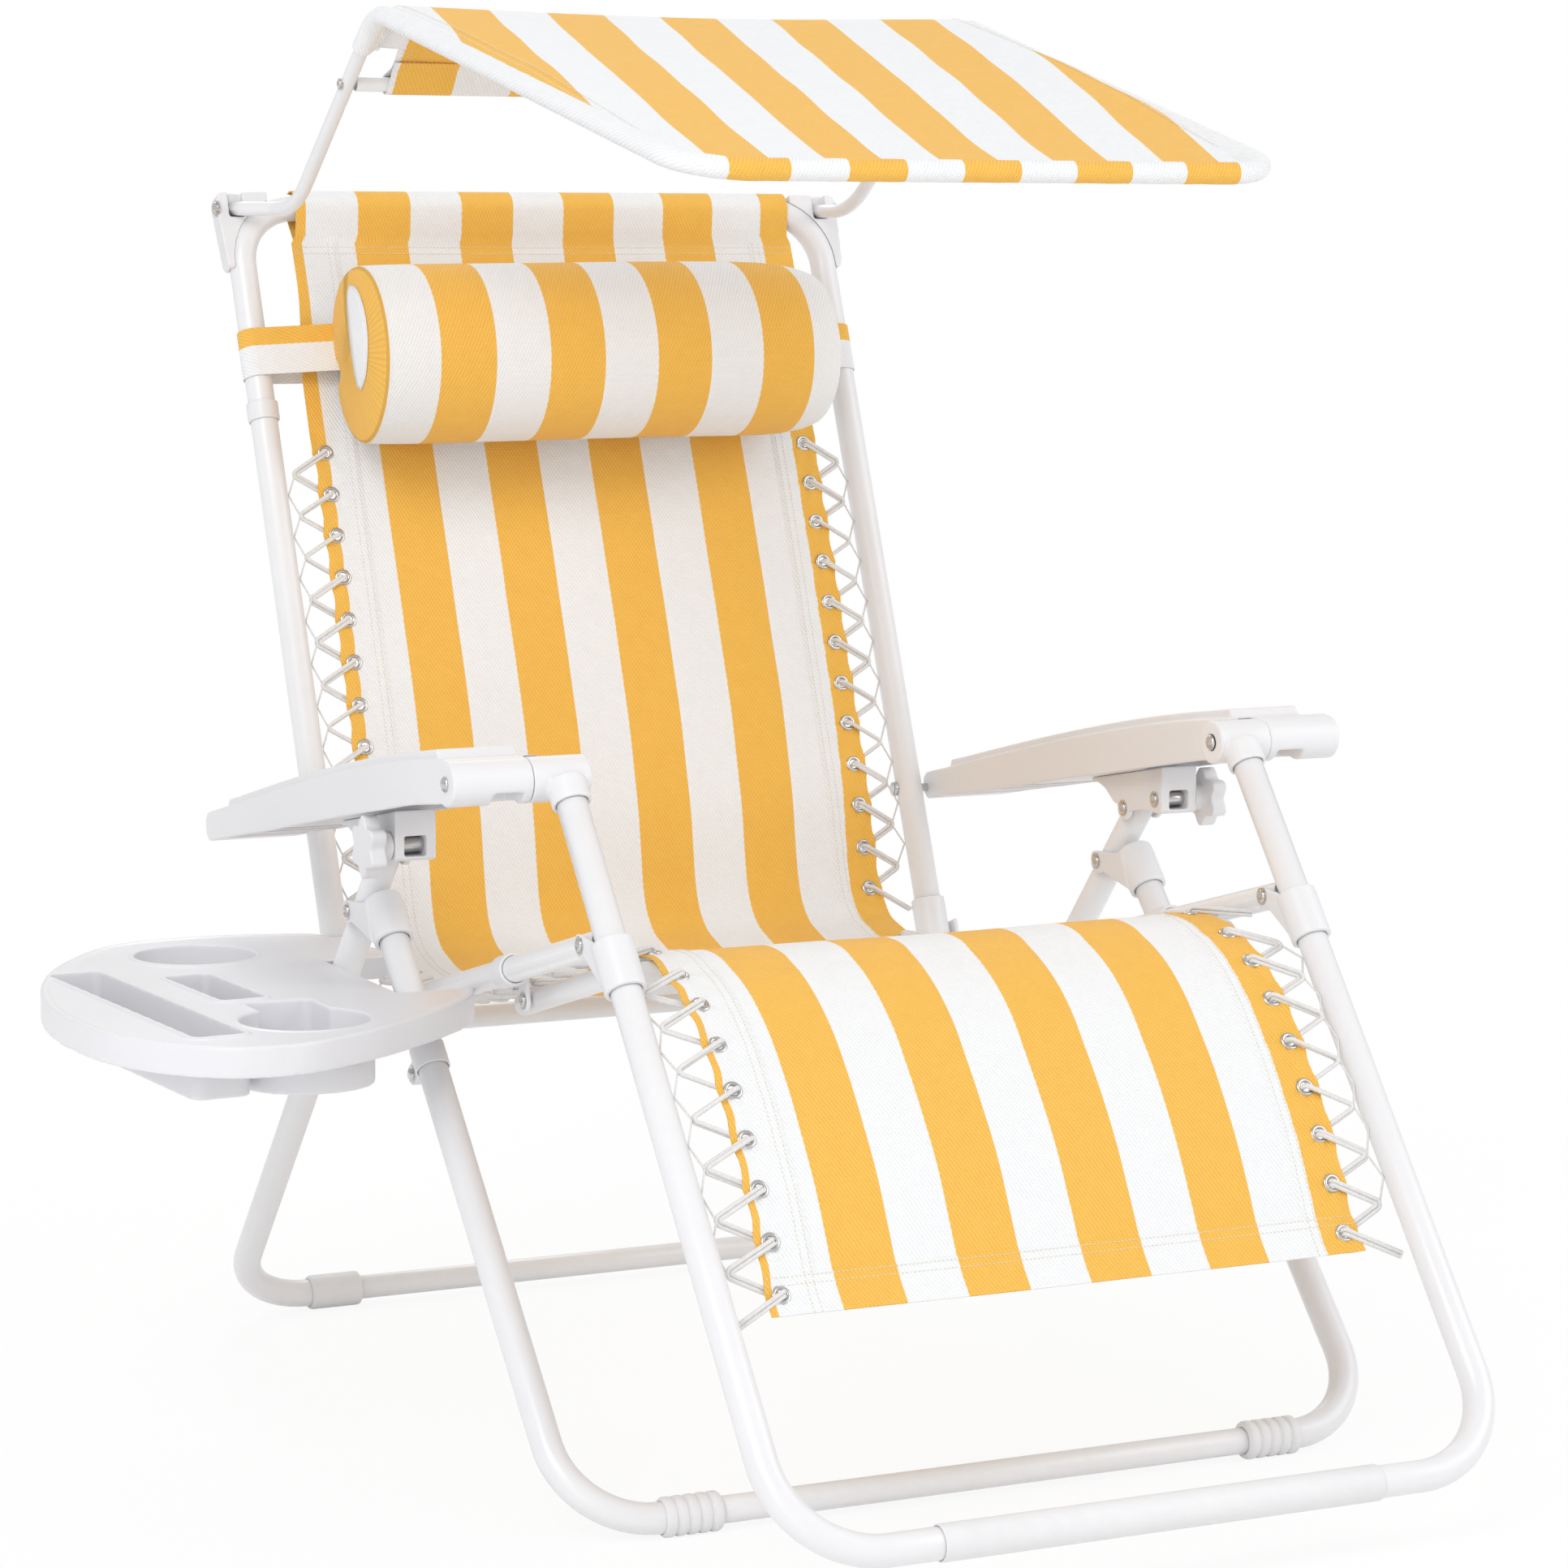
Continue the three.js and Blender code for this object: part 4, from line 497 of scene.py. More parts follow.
def bentPath(corners, bends, arcStep=5):
    stations, tangents = [Vector(corners[0])], [(Vector(corners[1]) - Vector(corners[0])).normalized()]
    for i in range(1, len(corners) - 1):
        corner, radius = Vector(corners[i]), bends[i - 1] if isinstance(bends, (list, tuple)) else bends
        arriving = (corner - Vector(corners[i - 1])).normalized()
        leaving = (Vector(corners[i + 1]) - corner).normalized()
        turn = arriving.angle(leaving)
        steps = max(2, math.ceil(math.degrees(turn) / arcStep))
        start = corner - arriving * radius * math.tan(turn / 2)
        inward = (leaving - arriving * leaving.dot(arriving)).normalized()
        centre = start + inward * radius
        for k in range(steps + 1):
            a = turn * k / steps
            stations.append(centre - inward * radius * math.cos(a) + arriving * radius * math.sin(a))
            tangents.append(arriving * math.cos(a) + inward * math.sin(a))
    stations.append(Vector(corners[-1]))
    tangents.append((Vector(corners[-1]) - Vector(corners[-2])).normalized())
    return stations, tangents


def carried(tangents):
    # A pair of square directions at each station, carried along without twist
    first = tangents[0]
    hint = Vector((0, 0, 1)) if abs(first.z) < 0.9 else Vector((1, 0, 0))
    normal = (hint - first * hint.dot(first)).normalized()
    pairs, before = [], first
    for tangent in tangents:
        normal = before.rotation_difference(tangent) @ normal
        normal = (normal - tangent * normal.dot(tangent)).normalized()
        pairs.append((normal.copy(), tangent.cross(normal)))
        before = tangent
    return pairs


def ringsToFaces(rings, sides, closeEnds=True):
    faces = []
    for i in range(rings - 1):
        for k in range(sides):
            a, b = i * sides + k, i * sides + (k + 1) % sides
            faces.append((a, b, b + sides, a + sides))
    if closeEnds:
        faces.append(tuple(reversed(range(sides))))
        faces.append(tuple(range((rings - 1) * sides, rings * sides)))
    return faces


def sweep(name, stations, tangents, radii, sides=40):
    pairs, points, uvs, run = carried(tangents), [], [], 0
    for i, (station, (a, b), radius) in enumerate(zip(stations, pairs, radii)):
        run += (station - stations[i - 1]).length if i else 0
        for k in range(sides):
            angle = 2 * math.pi * k / sides
            points.append(station + a * radius * math.cos(angle) + b * radius * math.sin(angle))
            uvs.append((k / sides * 2 * math.pi * radius / 1000, run / 1000))
    return makePiece(name, points, ringsToFaces(len(stations), sides), uvs)


def tube(name, corners, bends, radius, sides=40, wall=1.2, depth=14):
    # An open-ended tube: the ends turn in over a small rounded lip and stop at a plug inside
    stations, tangents = bentPath(corners, bends)
    lip = wall / 3
    first, last = (stations[0], tangents[0]), (stations[-1], tangents[-1])
    head = [(first[0] + first[1] * depth, radius - wall), (first[0] + first[1] * lip, radius - wall),
            (first[0], radius - wall + lip), (first[0], radius - lip), (first[0] + first[1] * lip, radius)]
    tail = [(last[0] - last[1] * lip, radius), (last[0], radius - lip), (last[0], radius - wall + lip),
            (last[0] - last[1] * lip, radius - wall), (last[0] - last[1] * depth, radius - wall)]
    places = [p for p, _ in head] + stations[1:-1] + [p for p, _ in tail]
    ways = [first[1]] * len(head) + tangents[1:-1] + [last[1]] * len(tail)
    radii = [r for _, r in head] + [radius] * (len(stations) - 2) + [r for _, r in tail]
    obj = sweep(name, places, ways, radii, sides)
    faceOut(obj)
    obj.data.set_sharp_from_angle(angle=math.radians(50))
    return obj


# Solids for the moulded fittings, in layout millimetres
def rodSolid(a, b, radius, sides=48):
    a, b = Vector(a), Vector(b)
    way = (b - a).normalized()
    obj = sweep("solid", [a, b], [way, way], [radius, radius], sides)
    return faceOut(obj)


def crossRod(p, radius, x0, x1, sides=48):
    return rodSolid(side(min(x0, x1), p), side(max(x0, x1), p), radius, sides)


def plateSolid(outline, x0, x1):
    low, high = min(x0, x1), max(x0, x1)
    n = len(outline)
    points = [(low, *p) for p in outline] + [(high, *p) for p in outline]
    return faceOut(makePiece("solid", points, ringsToFaces(2, n), smooth=False))


def uprightSolid(outline, z0, z1):
    n = len(outline)
    points = [(*p, z0) for p in outline] + [(*p, z1) for p in outline]
    return faceOut(makePiece("solid", points, ringsToFaces(2, n), smooth=False))


def boxSolid(low, high):
    return uprightSolid([(low[0], low[1]), (high[0], low[1]), (high[0], high[1]), (low[0], high[1])], low[2], high[2])


def latheAlongX(name, profile, p, sides=48):
    # profile holds (radius, x); a closed outline turned about the X line through a side place
    rings, points = len(profile), []
    for radius, x in profile:
        for k in range(sides):
            a = 2 * math.pi * k / sides
            points.append((x, p[0] + radius * math.cos(a), p[1] + radius * math.sin(a)))
    faces = []
    for i in range(rings):
        for k in range(sides):
            a, b = i * sides + k, i * sides + (k + 1) % sides
            c, d = ((i + 1) % rings) * sides + (k + 1) % sides, ((i + 1) % rings) * sides + k
            faces.append((a, b, c, d))
    return faceOut(makePiece(name, points, faces))


def combine(name, parts, cuts=()):
    base = parts[0]
    base.name = name
    others = []
    for group, operation in ((parts[1:], "UNION"), (cuts, "DIFFERENCE")):
        for other in group:
            step_ = base.modifiers.new(operation, "BOOLEAN")
            step_.operation = operation
            step_.solver = "MANIFOLD"
            step_.object = other
            others.append(other)
    settle(base)
    for other in others:
        bpy.data.objects.remove(other)
    return base


def mould(obj, voxel=1.1, smoothing=5, keep=0.45):
    # Rounds every edge of a fitting the way a moulding has them
    obj.data.remesh_voxel_size = voxel / 1000
    melt = obj.modifiers.new("melt", "REMESH")
    melt.mode = "VOXEL"
    melt.voxel_size = voxel / 1000
    melt.use_smooth_shade = True
    relax = obj.modifiers.new("relax", "SMOOTH")
    relax.factor = 0.5
    relax.iterations = smoothing
    thin = obj.modifiers.new("thin", "DECIMATE")
    thin.ratio = keep
    settle(obj)
    obj.data.polygons.foreach_set("use_smooth", [True] * len(obj.data.polygons))
    return obj


def bevelled(obj, width, segments=3, angle=30):
    clean = obj.modifiers.new("clean", "DECIMATE")
    clean.decimate_type = "DISSOLVE"
    clean.angle_limit = math.radians(1)
    edge = obj.modifiers.new("edge", "BEVEL")
    edge.width = width / 1000
    edge.segments = segments
    edge.limit_method = "ANGLE"
    edge.angle_limit = math.radians(angle)
    edge.use_clamp_overlap = True
    edge.harden_normals = False
    return smoothed(settle(obj), 40)


labels = ((-1, "left"), (1, "right"))
rearDown = unit((0.873, -1))
frontUp = unit((0.935, 1))
frontDown = (-frontUp[0], -frontUp[1])
frontBar = (layout["frontBar"], layout["floorBar"])
rearBar = step(layout["armPivot"], rearDown, (layout["armPivot"][1] - layout["floorBar"]) / -rearDown[1])
scissorFoot = step(frontBar, frontUp, dot(between(frontBar, layout["scissor"]), frontUp))
backUp = unit(between(layout["seatRear"], layout["backBar"]))
backForward = (-backUp[1], backUp[0])
railUnit = unit(between(layout["seatFront"], layout["seatRear"]))
footRun = unit(between(layout["footTop"], layout["footBar"]))
kneeUnit = unit(between(layout["kneePivot"], layout["kneeBar"]))
armAlong = unit(between(layout["armFront"], layout["armRear"]))
armUp = (-armAlong[1], armAlong[0])
armLength = layout["armRear"][0] - layout["armFront"][0]

# Bent tubes
bends = {"leg": 75, "foot": 80, "back": 58, "seat": 40, "knee": 40, "sleeveInner": 269, "footInsert": 151}


def makeTubes():
    lr, br = layout["legRadius"], layout["barRadius"]
    for s, label in labels:
        x = s * layout["legHalf"]
        top = step(layout["armPivot"], rearDown, -12)
        leg = tube(f"rearLegTube.{label}", [side(x, top), side(x, rearBar), side(s * bends["sleeveInner"], rearBar)],
                   bends["leg"], lr)
        wear(leg, "tube", "base", "white_tube", f"rear_leg_{label}")
        top = step(scissorFoot, frontUp, -20.1)
        leg = tube(f"frontLegTube.{label}", [side(x, top), side(x, frontBar), side(s * bends["sleeveInner"], frontBar)],
                   bends["leg"], lr)
        wear(leg, "tube", "front_legs", "white_tube", f"front_leg_{label}")
        x = s * layout["railHalf"]
        foot = tube(f"footrestTube.{label}", [side(x, step(layout["footTop"], footRun, 12)), side(x, layout["footBar"]),
                                             side(s * bends["footInsert"], layout["footBar"])], bends["foot"], lr)
        wear(foot, "tube", "footrest", "white_tube", f"foot_tube_{label}")
    for name, place, body in (("rear", rearBar, "base"), ("front", frontBar, "front_legs")):
        bar = tube(f"{name}FloorBar", [side(-264.7, place), side(264.7, place)], 0, br)
        wear(bar, "tube", body, "white_tube", f"{name}_crossbar")
    low = step(layout["seatRear"], backUp, 30)
    x = layout["backHalf"]
    back = tube("backTube", [side(-x, low), side(-x, layout["backBar"]), side(x, layout["backBar"]), side(x, low)],
                bends["back"], lr)
    wear(back, "tube", "back", "white_tube", "back_tube")
    x, end = layout["railHalf"], step(layout["seatFront"], railUnit, -11)
    bar = step(layout["seatRear"], railUnit, 56)
    seat = tube("seatTube", [side(-x, end), side(-x, bar), side(x, bar), side(x, end)], bends["seat"], br)
    for s in (-1, 1):
        seat = combine("seatTube", [seat], [railTrim(s)])
    wear(smoothed(seat, 40), "tube", "seat", "white_tube", "seat_tube")
    x, end = 288.5, step(layout["kneePivot"], kneeUnit, -34)
    knee = tube("kneeBar", [side(-x, end), side(-x, layout["kneeBar"]), side(x, layout["kneeBar"]), side(x, end)],
                bends["knee"], layout["kneeRadius"])
    wear(knee, "tube", "knee", "white_tube", "knee_bar")


def railTrim(s):
    # Rounds the rail's end about its pivot, seen from the side
    block = []
    turn = math.atan2(railUnit[1], railUnit[0])
    for i in range(13):
        a = math.pi / 2 + math.pi * i / 12
        block.append((11 * math.cos(a), 11 * math.sin(a)))
    block += [(0, -22), (-22, -22), (-22, 22), (0, 22)]
    placedBlock = [(layout["seatFront"][0] + a * math.cos(turn) - b * math.sin(turn),
                    layout["seatFront"][1] + a * math.sin(turn) + b * math.cos(turn)) for a, b in block]
    x = s * layout["railHalf"]
    return plateSolid(placedBlock, x - 20, x + 20)


makeTubes()
print("tubes are bent")

# Fittings moulded round the tubes
rivetPlaces = {}


def addRivet(body, p, x, outward, size=1.0):
    rivetPlaces.setdefault(body, []).append((x, p[0], p[1], outward, size))


def addRivetPair(body, p, x, half):
    for out in (-1, 1):
        addRivet(body, p, x + out * half, out)


def arc(centre, radius, start, end, count):
    return [(centre[0] + radius * math.cos(start + (end - start) * i / count),
             centre[1] + radius * math.sin(start + (end - start) * i / count)) for i in range(count + 1)]


def clevis(name, x, origin, down, pivot, start, end, closedEnd, gap, wall, earRadius, relief, sleeveWall):
    sleeve = layout["legRadius"] + sleeveWall
    away = unit(between(origin, pivot))
    turn = math.atan2(away[1], away[0])
    outline = arc(pivot, earRadius, turn - math.pi / 2, turn + math.pi / 2, 20)
    topEnd = step(step(origin, down, start + earRadius / 2), away, -sleeve / 3)
    lowEnd = step(step(origin, down, end - earRadius / 3), away, sleeve / 3)
    crossing = down[0] * away[1] - down[1] * away[0] > 0
    outline += [topEnd, lowEnd] if crossing else [lowEnd, topEnd]
    parts = [rodSolid(side(x, step(origin, down, start)), side(x, step(origin, down, end)), sleeve),
             plateSolid(outline, x - gap - wall, x - gap), plateSolid(outline, x + gap, x + gap + wall)]
    boreFrom = start + sleeveWall if closedEnd else 2 * start - end
    cuts = [rodSolid(side(x, step(origin, down, boreFrom)), side(x, step(origin, down, end + 2)),
                     layout["legRadius"] + layout["gap"]),
            crossRod(pivot, relief, x - gap, x + gap)]
    return mould(combine(name, parts, cuts))


def makeFittings():
    legGap, railGap = layout["legRadius"] + 0.6, layout["barRadius"] + 0.6
    for s, label in labels:
        x, railX = s * layout["legHalf"], s * layout["railHalf"]
        collar = clevis(f"legCollar.{label}", x, scissorFoot, frontDown, layout["scissor"], 15.5, 57.5, True,
                        legGap, 4.8, 11.5, 11.5, 4.3)
        wear(collar, "plastic", "front_legs", "white_plastic", f"leg_collar_{label}")
        addRivetPair("front_legs", layout["scissor"], x, legGap + 4.8)
        run = math.hypot(*between(frontBar, scissorFoot))
        foot = step(scissorFoot, frontDown, run * 0.285)
        rearward = (frontUp[1], -frontUp[0])
        bolt = step(foot, rearward, 24)
        web = [step(foot, frontDown, -9), step(bolt, frontDown, -9), step(bolt, frontDown, 9), step(foot, frontDown, 9)]
        ear = combine(f"legEar.{label}", [
            rodSolid(side(x, step(foot, frontDown, -12)), side(x, step(foot, frontDown, 12)), 14.85),
            crossRod(bolt, 9, x - 9, x + 9), plateSolid(web, x - 9, x + 9)],
            [rodSolid(side(x, step(foot, frontDown, -24)), side(x, step(foot, frontDown, 24)), 13.0)])
        wear(mould(ear), "plastic", "front_legs", "white_plastic", f"leg_ear_{label}")
        addRivetPair("front_legs", bolt, x, 9)
        origin = step(layout["footTop"], footRun, dot(between(layout["footTop"], layout["seatFront"]), footRun))
        collar = clevis(f"footrestCollar.{label}", railX, origin, footRun, layout["seatFront"], 13, 57, False,
                        railGap, 4.2, 10.5, railGap, 4.3)
        wear(collar, "plastic", "footrest", "white_plastic", f"foot_collar_{label}")
        addRivetPair("footrest", layout["seatFront"], railX, railGap + 4.2)
        makeFork(s, label, railGap)
        makeFootCap(s, label)
        makeKneeBracket(s, label)
        makeCornerBlock(s, label)
        makeFloorSleeves(s, label)
    clip = step(layout["backBar"], backUp, (843 - layout["backBar"][1]) / backUp[1])
    x = -layout["backHalf"]
    low, high = step(clip, backUp, -9), step(clip, backUp, 9)
    block = (clip[0] + layout["legRadius"] + 4, clip[1])
    clipPiece = combine("cordClip", [
        rodSolid(side(x, low), side(x, high), 14.9),
        boxSolid((x - 5.5, block[0] - 5, block[1] - 7), (x + 5.5, block[0] + 5, block[1] + 7))],
        [rodSolid(side(x, step(clip, backUp, -18)), side(x, step(clip, backUp, 18)), 13.0)])
    wear(mould(clipPiece, 0.8), "plastic", "back", "white_plastic", "cord_clip")


def makeFork(s, label, gap):
    x, railX = s * layout["backHalf"], s * layout["railHalf"]
    foot = layout["seatRear"]

    def along(t, across):
        return step(step(foot, backUp, t), backForward, across)

    turn = math.atan2(-backUp[1], -backUp[0])
    plate = arc(foot, 10.5, turn - math.pi / 2, turn + math.pi / 2, 20) + [along(53, -10.5), along(53, 10.5)]
    fork = combine(f"backFork.{label}", [
        rodSolid(side(x, along(25.7, 0)), side(x, along(76, 0)), 16.1),
        plateSolid(plate, railX - gap - 4.2, railX - gap), plateSolid(plate, railX + gap, railX + gap + 4.2)],
        [rodSolid(side(x, along(29.7, 0)), side(x, along(122, 0)), 13.0), crossRod(foot, 11.6, railX - gap, railX + gap)])
    wear(mould(fork), "plastic", "back", "white_plastic", f"back_fork_{label}")
    addRivetPair("back", foot, railX, gap + 4.2)


def makeFootCap(s, label):
    x, top = s * layout["railHalf"], layout["footTop"]
    cap = combine(f"footrestCap.{label}", [
        crossRod(layout["armFront"], 18.5, s * 291, s * 340),
        rodSolid(side(x, step(top, footRun, -2)), side(x, step(top, footRun, 19)), 16.2)],
        [rodSolid(side(x, step(top, footRun, 11.7)), side(x, step(top, footRun, 80)), 13.0),
         crossRod(layout["armFront"], 7, s * 290, s * 341)])
    wear(mould(cap), "plastic", "footrest", "white_plastic", f"foot_cap_{label}")


def makeKneeBracket(s, label):
    x = s * layout["railHalf"]
    knee = layout["kneePivot"]
    onRail = step(layout["seatFront"], railUnit, dot(between(layout["seatFront"], knee), railUnit))
    tab = arc(knee, 9, math.pi, 2 * math.pi, 14) + [step(onRail, (1, 0), 9), step(onRail, (-1, 0), 9)]
    bracket = combine(f"kneeBracket.{label}", [
        rodSolid(side(x, step(onRail, railUnit, -12)), side(x, step(onRail, railUnit, 12)), 14),
        plateSolid(tab, s * 299.2, s * 303)],
        [rodSolid(side(x, step(onRail, railUnit, -24)), side(x, step(onRail, railUnit, 24)), 11.3)])
    wear(mould(bracket, 0.9), "plastic", "seat", "white_plastic", f"knee_bracket_{label}")
    addRivet("seat", knee, s * 303, s)
    addRivet("seat", knee, s * (288.5 - 9.5 - 0.3), -s)


def inBackPlane(out, drop, lift, s):
    # A place on the back frame's plane: outward from its tube, down from its crossbar, forward of it
    p = step(step(layout["backBar"], backUp, -drop), backForward, lift)
    return Vector((s * (layout["backHalf"] + out), p[0], p[1]))


def makeCornerBlock(s, label):
    outline = [(-30, -12.5), (-18, -12.9), (-6, -12.2), (4, -13.2), (14, -12.8), (18, -10.5), (20.6, -5), (20.8, 4),
               (17.4, 58), (15.6, 62), (12, 63), (8.5, 61), (0, 50), (-17.6, 17.6), (-30, 4)]
    n = len(outline)
    points = [inBackPlane(out, drop, -9, s) for out, drop in outline]
    points += [inBackPlane(out, drop, 9, s) for out, drop in outline]
    wedge = faceOut(makePiece("solid", points, ringsToFaces(2, n), smooth=False))
    x = s * layout["backHalf"]
    low = step(layout["seatRear"], backUp, 30)
    stations, tangents = bentPath([side(x, low), side(x, layout["backBar"]), side(0, layout["backBar"])], bends["back"])
    tubeRoom = faceOut(sweep("solid", stations, tangents, [13.0] * len(stations), 48))
    pivot, half, slotX = layout["canopyPivot"], layout["canopyRadius"] + 0.9, s * 306
    slot = boxSolid((slotX - half, pivot[0] - 36, pivot[1] - half), (slotX + half, pivot[0] + half, pivot[1] + 36))
    block = combine(f"cornerBlock.{label}", [wedge], [tubeRoom, slot])
    wear(mould(block, 0.9, 4), "plastic", "back", "white_plastic", f"corner_block_{label}")
    addRivet("back", pivot, s * 324.2, s, 1.05)


def makeFloorSleeves(s, label):
    inner, outer = 241, 290.7
    plain = [(13.0, outer), (14.6, outer), (15.4, outer - 0.8), (16, outer - 2.6), (16, inner + 2.6),
             (15.4, inner + 0.8), (14.4, inner), (11.3, inner), (11.3, 267), (13.0, 267)]
    ribbed = [(13.0, outer), (14.2, outer)]
    for i in range(5):
        at = outer - i * 9.94
        ribbed += [(14.5, at - 0.6), (15.5, at - 1.6), (16, at - 2.6), (16, at - 7.4), (15.5, at - 8.4), (14.5, at - 9.3)]
    ribbed += [(14.2, 241), (11.3, 241), (11.3, 267), (13.0, 267)]
    for name, profile, place, body in (("rear", plain, rearBar, "base"), ("front", ribbed, frontBar, "front_legs")):
        obj = latheAlongX(f"{name}FloorSleeve.{label}", [(r, s * x) for r, x in profile], place)
        trimmed = combine(f"{name}FloorSleeve.{label}", [obj],
                          [boxSolid((-400, place[0] - 60, -40), (400, place[0] + 60, 0))])
        wear(smoothed(trimmed, 38), "sleeve", body, "white_plastic", f"{name}_sleeve_{label}")


def makeFootSleeve():
    half = 191
    profile = [(13.15, half), (13.9, half), (14.4, half - 0.8), (14.4, -half + 0.8), (13.9, -half), (13.15, -half)]
    obj = latheAlongX("footrestSleeve", profile, layout["footBar"])
    obj.data.set_sharp_from_angle(angle=math.radians(50))
    wear(obj, "sleeve", "footrest", "sleeve_plastic", "foot_sleeve")


makeFittings()
makeFootSleeve()
print("collars, forks and sleeves are moulded")

# Armrests: a shell with cross ribs below, a soft-edged pad and a round grip
arm = {
    "inner": 325, "outer": 409, "wall": 4, "padInset": 8, "padRise": 7, "gripRadius": 18.5, "gripInner": 340.3,
    "edges": [(0, 0.031, -0.031), (0.08, 0.04, -0.018), (0.2, 0.045, -0.02), (0.33, 0.047, -0.018),
              (0.46, 0.046, -0.019), (0.6, 0.043, -0.018), (0.73, 0.038, -0.021), (0.87, 0.032, -0.018),
              (1, 0.025, -0.019)],
    "lock": (-106, 508.5), "lockRear": -84, "lockFront": -118.5, "lockLow": 496, "rear": (8, 520),
}


def armPoint(along, up):
    return step(step(layout["armFront"], armAlong, along * armLength), armUp, up * armLength)


def armEdge(column, lift, start=0.0, end=1.0, count=36):
    # A smooth line through the arm's edge shares
    shares = np.array(arm["edges"])
    spots = np.linspace(start, end, count)
    values = np.interp(spots, shares[:, 0], shares[:, column])
    smooth = np.convolve(np.pad(values, 3, mode="edge"), np.ones(7) / 7, mode="valid")
    return [step(armPoint(a, v), armUp, lift) for a, v in zip(spots, smooth)]


def undersideAt(y):
    low = [armPoint(a, b) for a, _, b in arm["edges"]]
    return float(np.interp(y, [p[0] for p in low], [p[1] for p in low]))


def makeArm(s, label):
    front, grip = layout["armFront"], arm["gripRadius"]
    tops, lows = armEdge(1, 0), armEdge(2, 0)
    rearShare = 1 + 17 / armLength
    rear = [armPoint(rearShare - 0.012, -0.019), armPoint(rearShare, -0.008), armPoint(rearShare, 0.014),
            armPoint(rearShare - 0.012, 0.025)]
    inner, outer = arm["inner"], arm["outer"]
    body = plateSolid(lows + rear + tops[::-1], s * inner, s * outer)
    pad = plateSolid(armEdge(1, -7, 0.05, 0.96) + armEdge(1, arm["padRise"], 0.06, 0.95)[::-1],
                     s * (inner + arm["padInset"]), s * (outer - arm["padInset"]))
    gripRod = crossRod(front, grip, s * arm["gripInner"], s * outer, 64)
    pockets = []
    for a, b in ((0.12, 0.36), (0.66, 0.72), (0.735, 0.8), (0.83, 0.88), (0.895, 0.95)):
        roof = armEdge(1, -arm["wall"], a, b, 8)
        floor = [step(armPoint(a, 0), armUp, -20), step(armPoint(b, 0), armUp, -20)]
        pockets.append(plateSolid(floor + roof[::-1], s * (inner + 4), s * (outer - 4)))
    y, z = front
    room = grip + 3
    cuts = pockets + [
        crossRod(front, room, s * 291, s * arm["gripInner"], 64),
        plateSolid([(y - room, z), (y, z), (y, z + room), (y - room, z + room)], s * 291, s * arm["gripInner"]),
        plateSolid([(y - 24, z - 24), (y + 24, z - 24), (y + 24, z - 7.6), (y - 24, z - 7.6)], s * 348, s * 374)]
    piece = combine(f"armrest.{label}", [body, pad, gripRod], cuts)
    wear(mould(piece, 1.25, 6, 0.4), "plastic", "arms", "white_plastic", f"arm_{label}")


def makeBracket(s, label):
    inner, outer = layout["legHalf"] - 18.1, layout["legHalf"] + 18.1
    pivot, lock = layout["armPivot"], arm["lock"]

    def top(y):
        return (y, undersideAt(y) - layout["gap"])

    def web(y):
        return (y, undersideAt(y) - 5)

    foot = arc(pivot, 11, math.pi * 1.05, math.pi * 2.05, 14)
    rise = [(pivot[0] + 18, pivot[1] + 3), (pivot[0] + 34, pivot[1] + 14)]
    cheek = foot + rise + [top(arm["rear"][0]), top(-20), top(pivot[0]), top(arm["lockRear"]),
                           (arm["lockRear"], arm["lockLow"])]
    housing = [(arm["lockRear"], arm["lockLow"]), top(arm["lockRear"]), top(arm["lockFront"]),
               (arm["lockFront"], arm["lockLow"] + 3), (arm["lockFront"] + 3, arm["lockLow"])]
    webbing = [web(arm["rear"][0]), top(arm["rear"][0]), top(pivot[0]), top(arm["lockFront"]), web(arm["lockFront"]),
               web(pivot[0])]
    middle, wide, front = s * layout["legHalf"], 9.5, arm["lockFront"]
    piece = combine(f"armBracket.{label}", [
        plateSolid(cheek, s * inner, s * (inner + 4.8)), plateSolid(cheek, s * (outer - 4.8), s * outer),
        plateSolid(webbing, s * inner, s * outer), plateSolid(housing, s * inner, s * outer)],
        [boxSolid((middle - wide, front - 1, lock[1] - 8.5), (middle + wide, front + 21, lock[1] + 8.5)),
         crossRod(lock, 4.3, s * (inner - 2), s * (outer + 2))])
    wear(mould(piece, 0.95, 4), "plastic", "arms", "white_plastic", f"arm_bracket_{label}")
    addRivet("arms", lock, s * inner, -s)
    addRivet("arms", pivot, s * inner, -s)
    addRivet("arms", pivot, s * outer, s)
    bolt = combine(f"lockBolt.{label}", [crossRod(lock, 4, s * inner, s * (outer + 18)),
                                         crossRod(lock, 6.5, middle - wide + 0.3, middle + wide - 0.3)])
    wear(bevelled(bolt, 0.5), "steel", "arms", "bright_steel", f"lock_bolt_{label}")
    makeKnob(s, label, outer)


def makeKnob(s, label, outer):
    lock, start, thick = arm["lock"], outer + 11, 14
    star = []
    for i in range(120):
        a = 2 * math.pi * i / 120
        reach = 26.5 * (1 - 0.13 * (1 + math.cos(6 * a)))
        star.append((lock[0] + reach * math.cos(a), lock[1] + reach * math.sin(a)))
    knob = combine(f"lockKnob.{label}", [plateSolid(star, s * start, s * (start + thick)),
                                         crossRod(lock, 12, s * (outer + 0.3), s * (start + 2))],
                   [crossRod(lock, 4.3, s * outer, s * (start + 7.3))])
    wear(mould(knob, 0.9, 6, 0.5), "plastic", f"knob_{label}", "white_plastic", f"lock_knob_{label}")


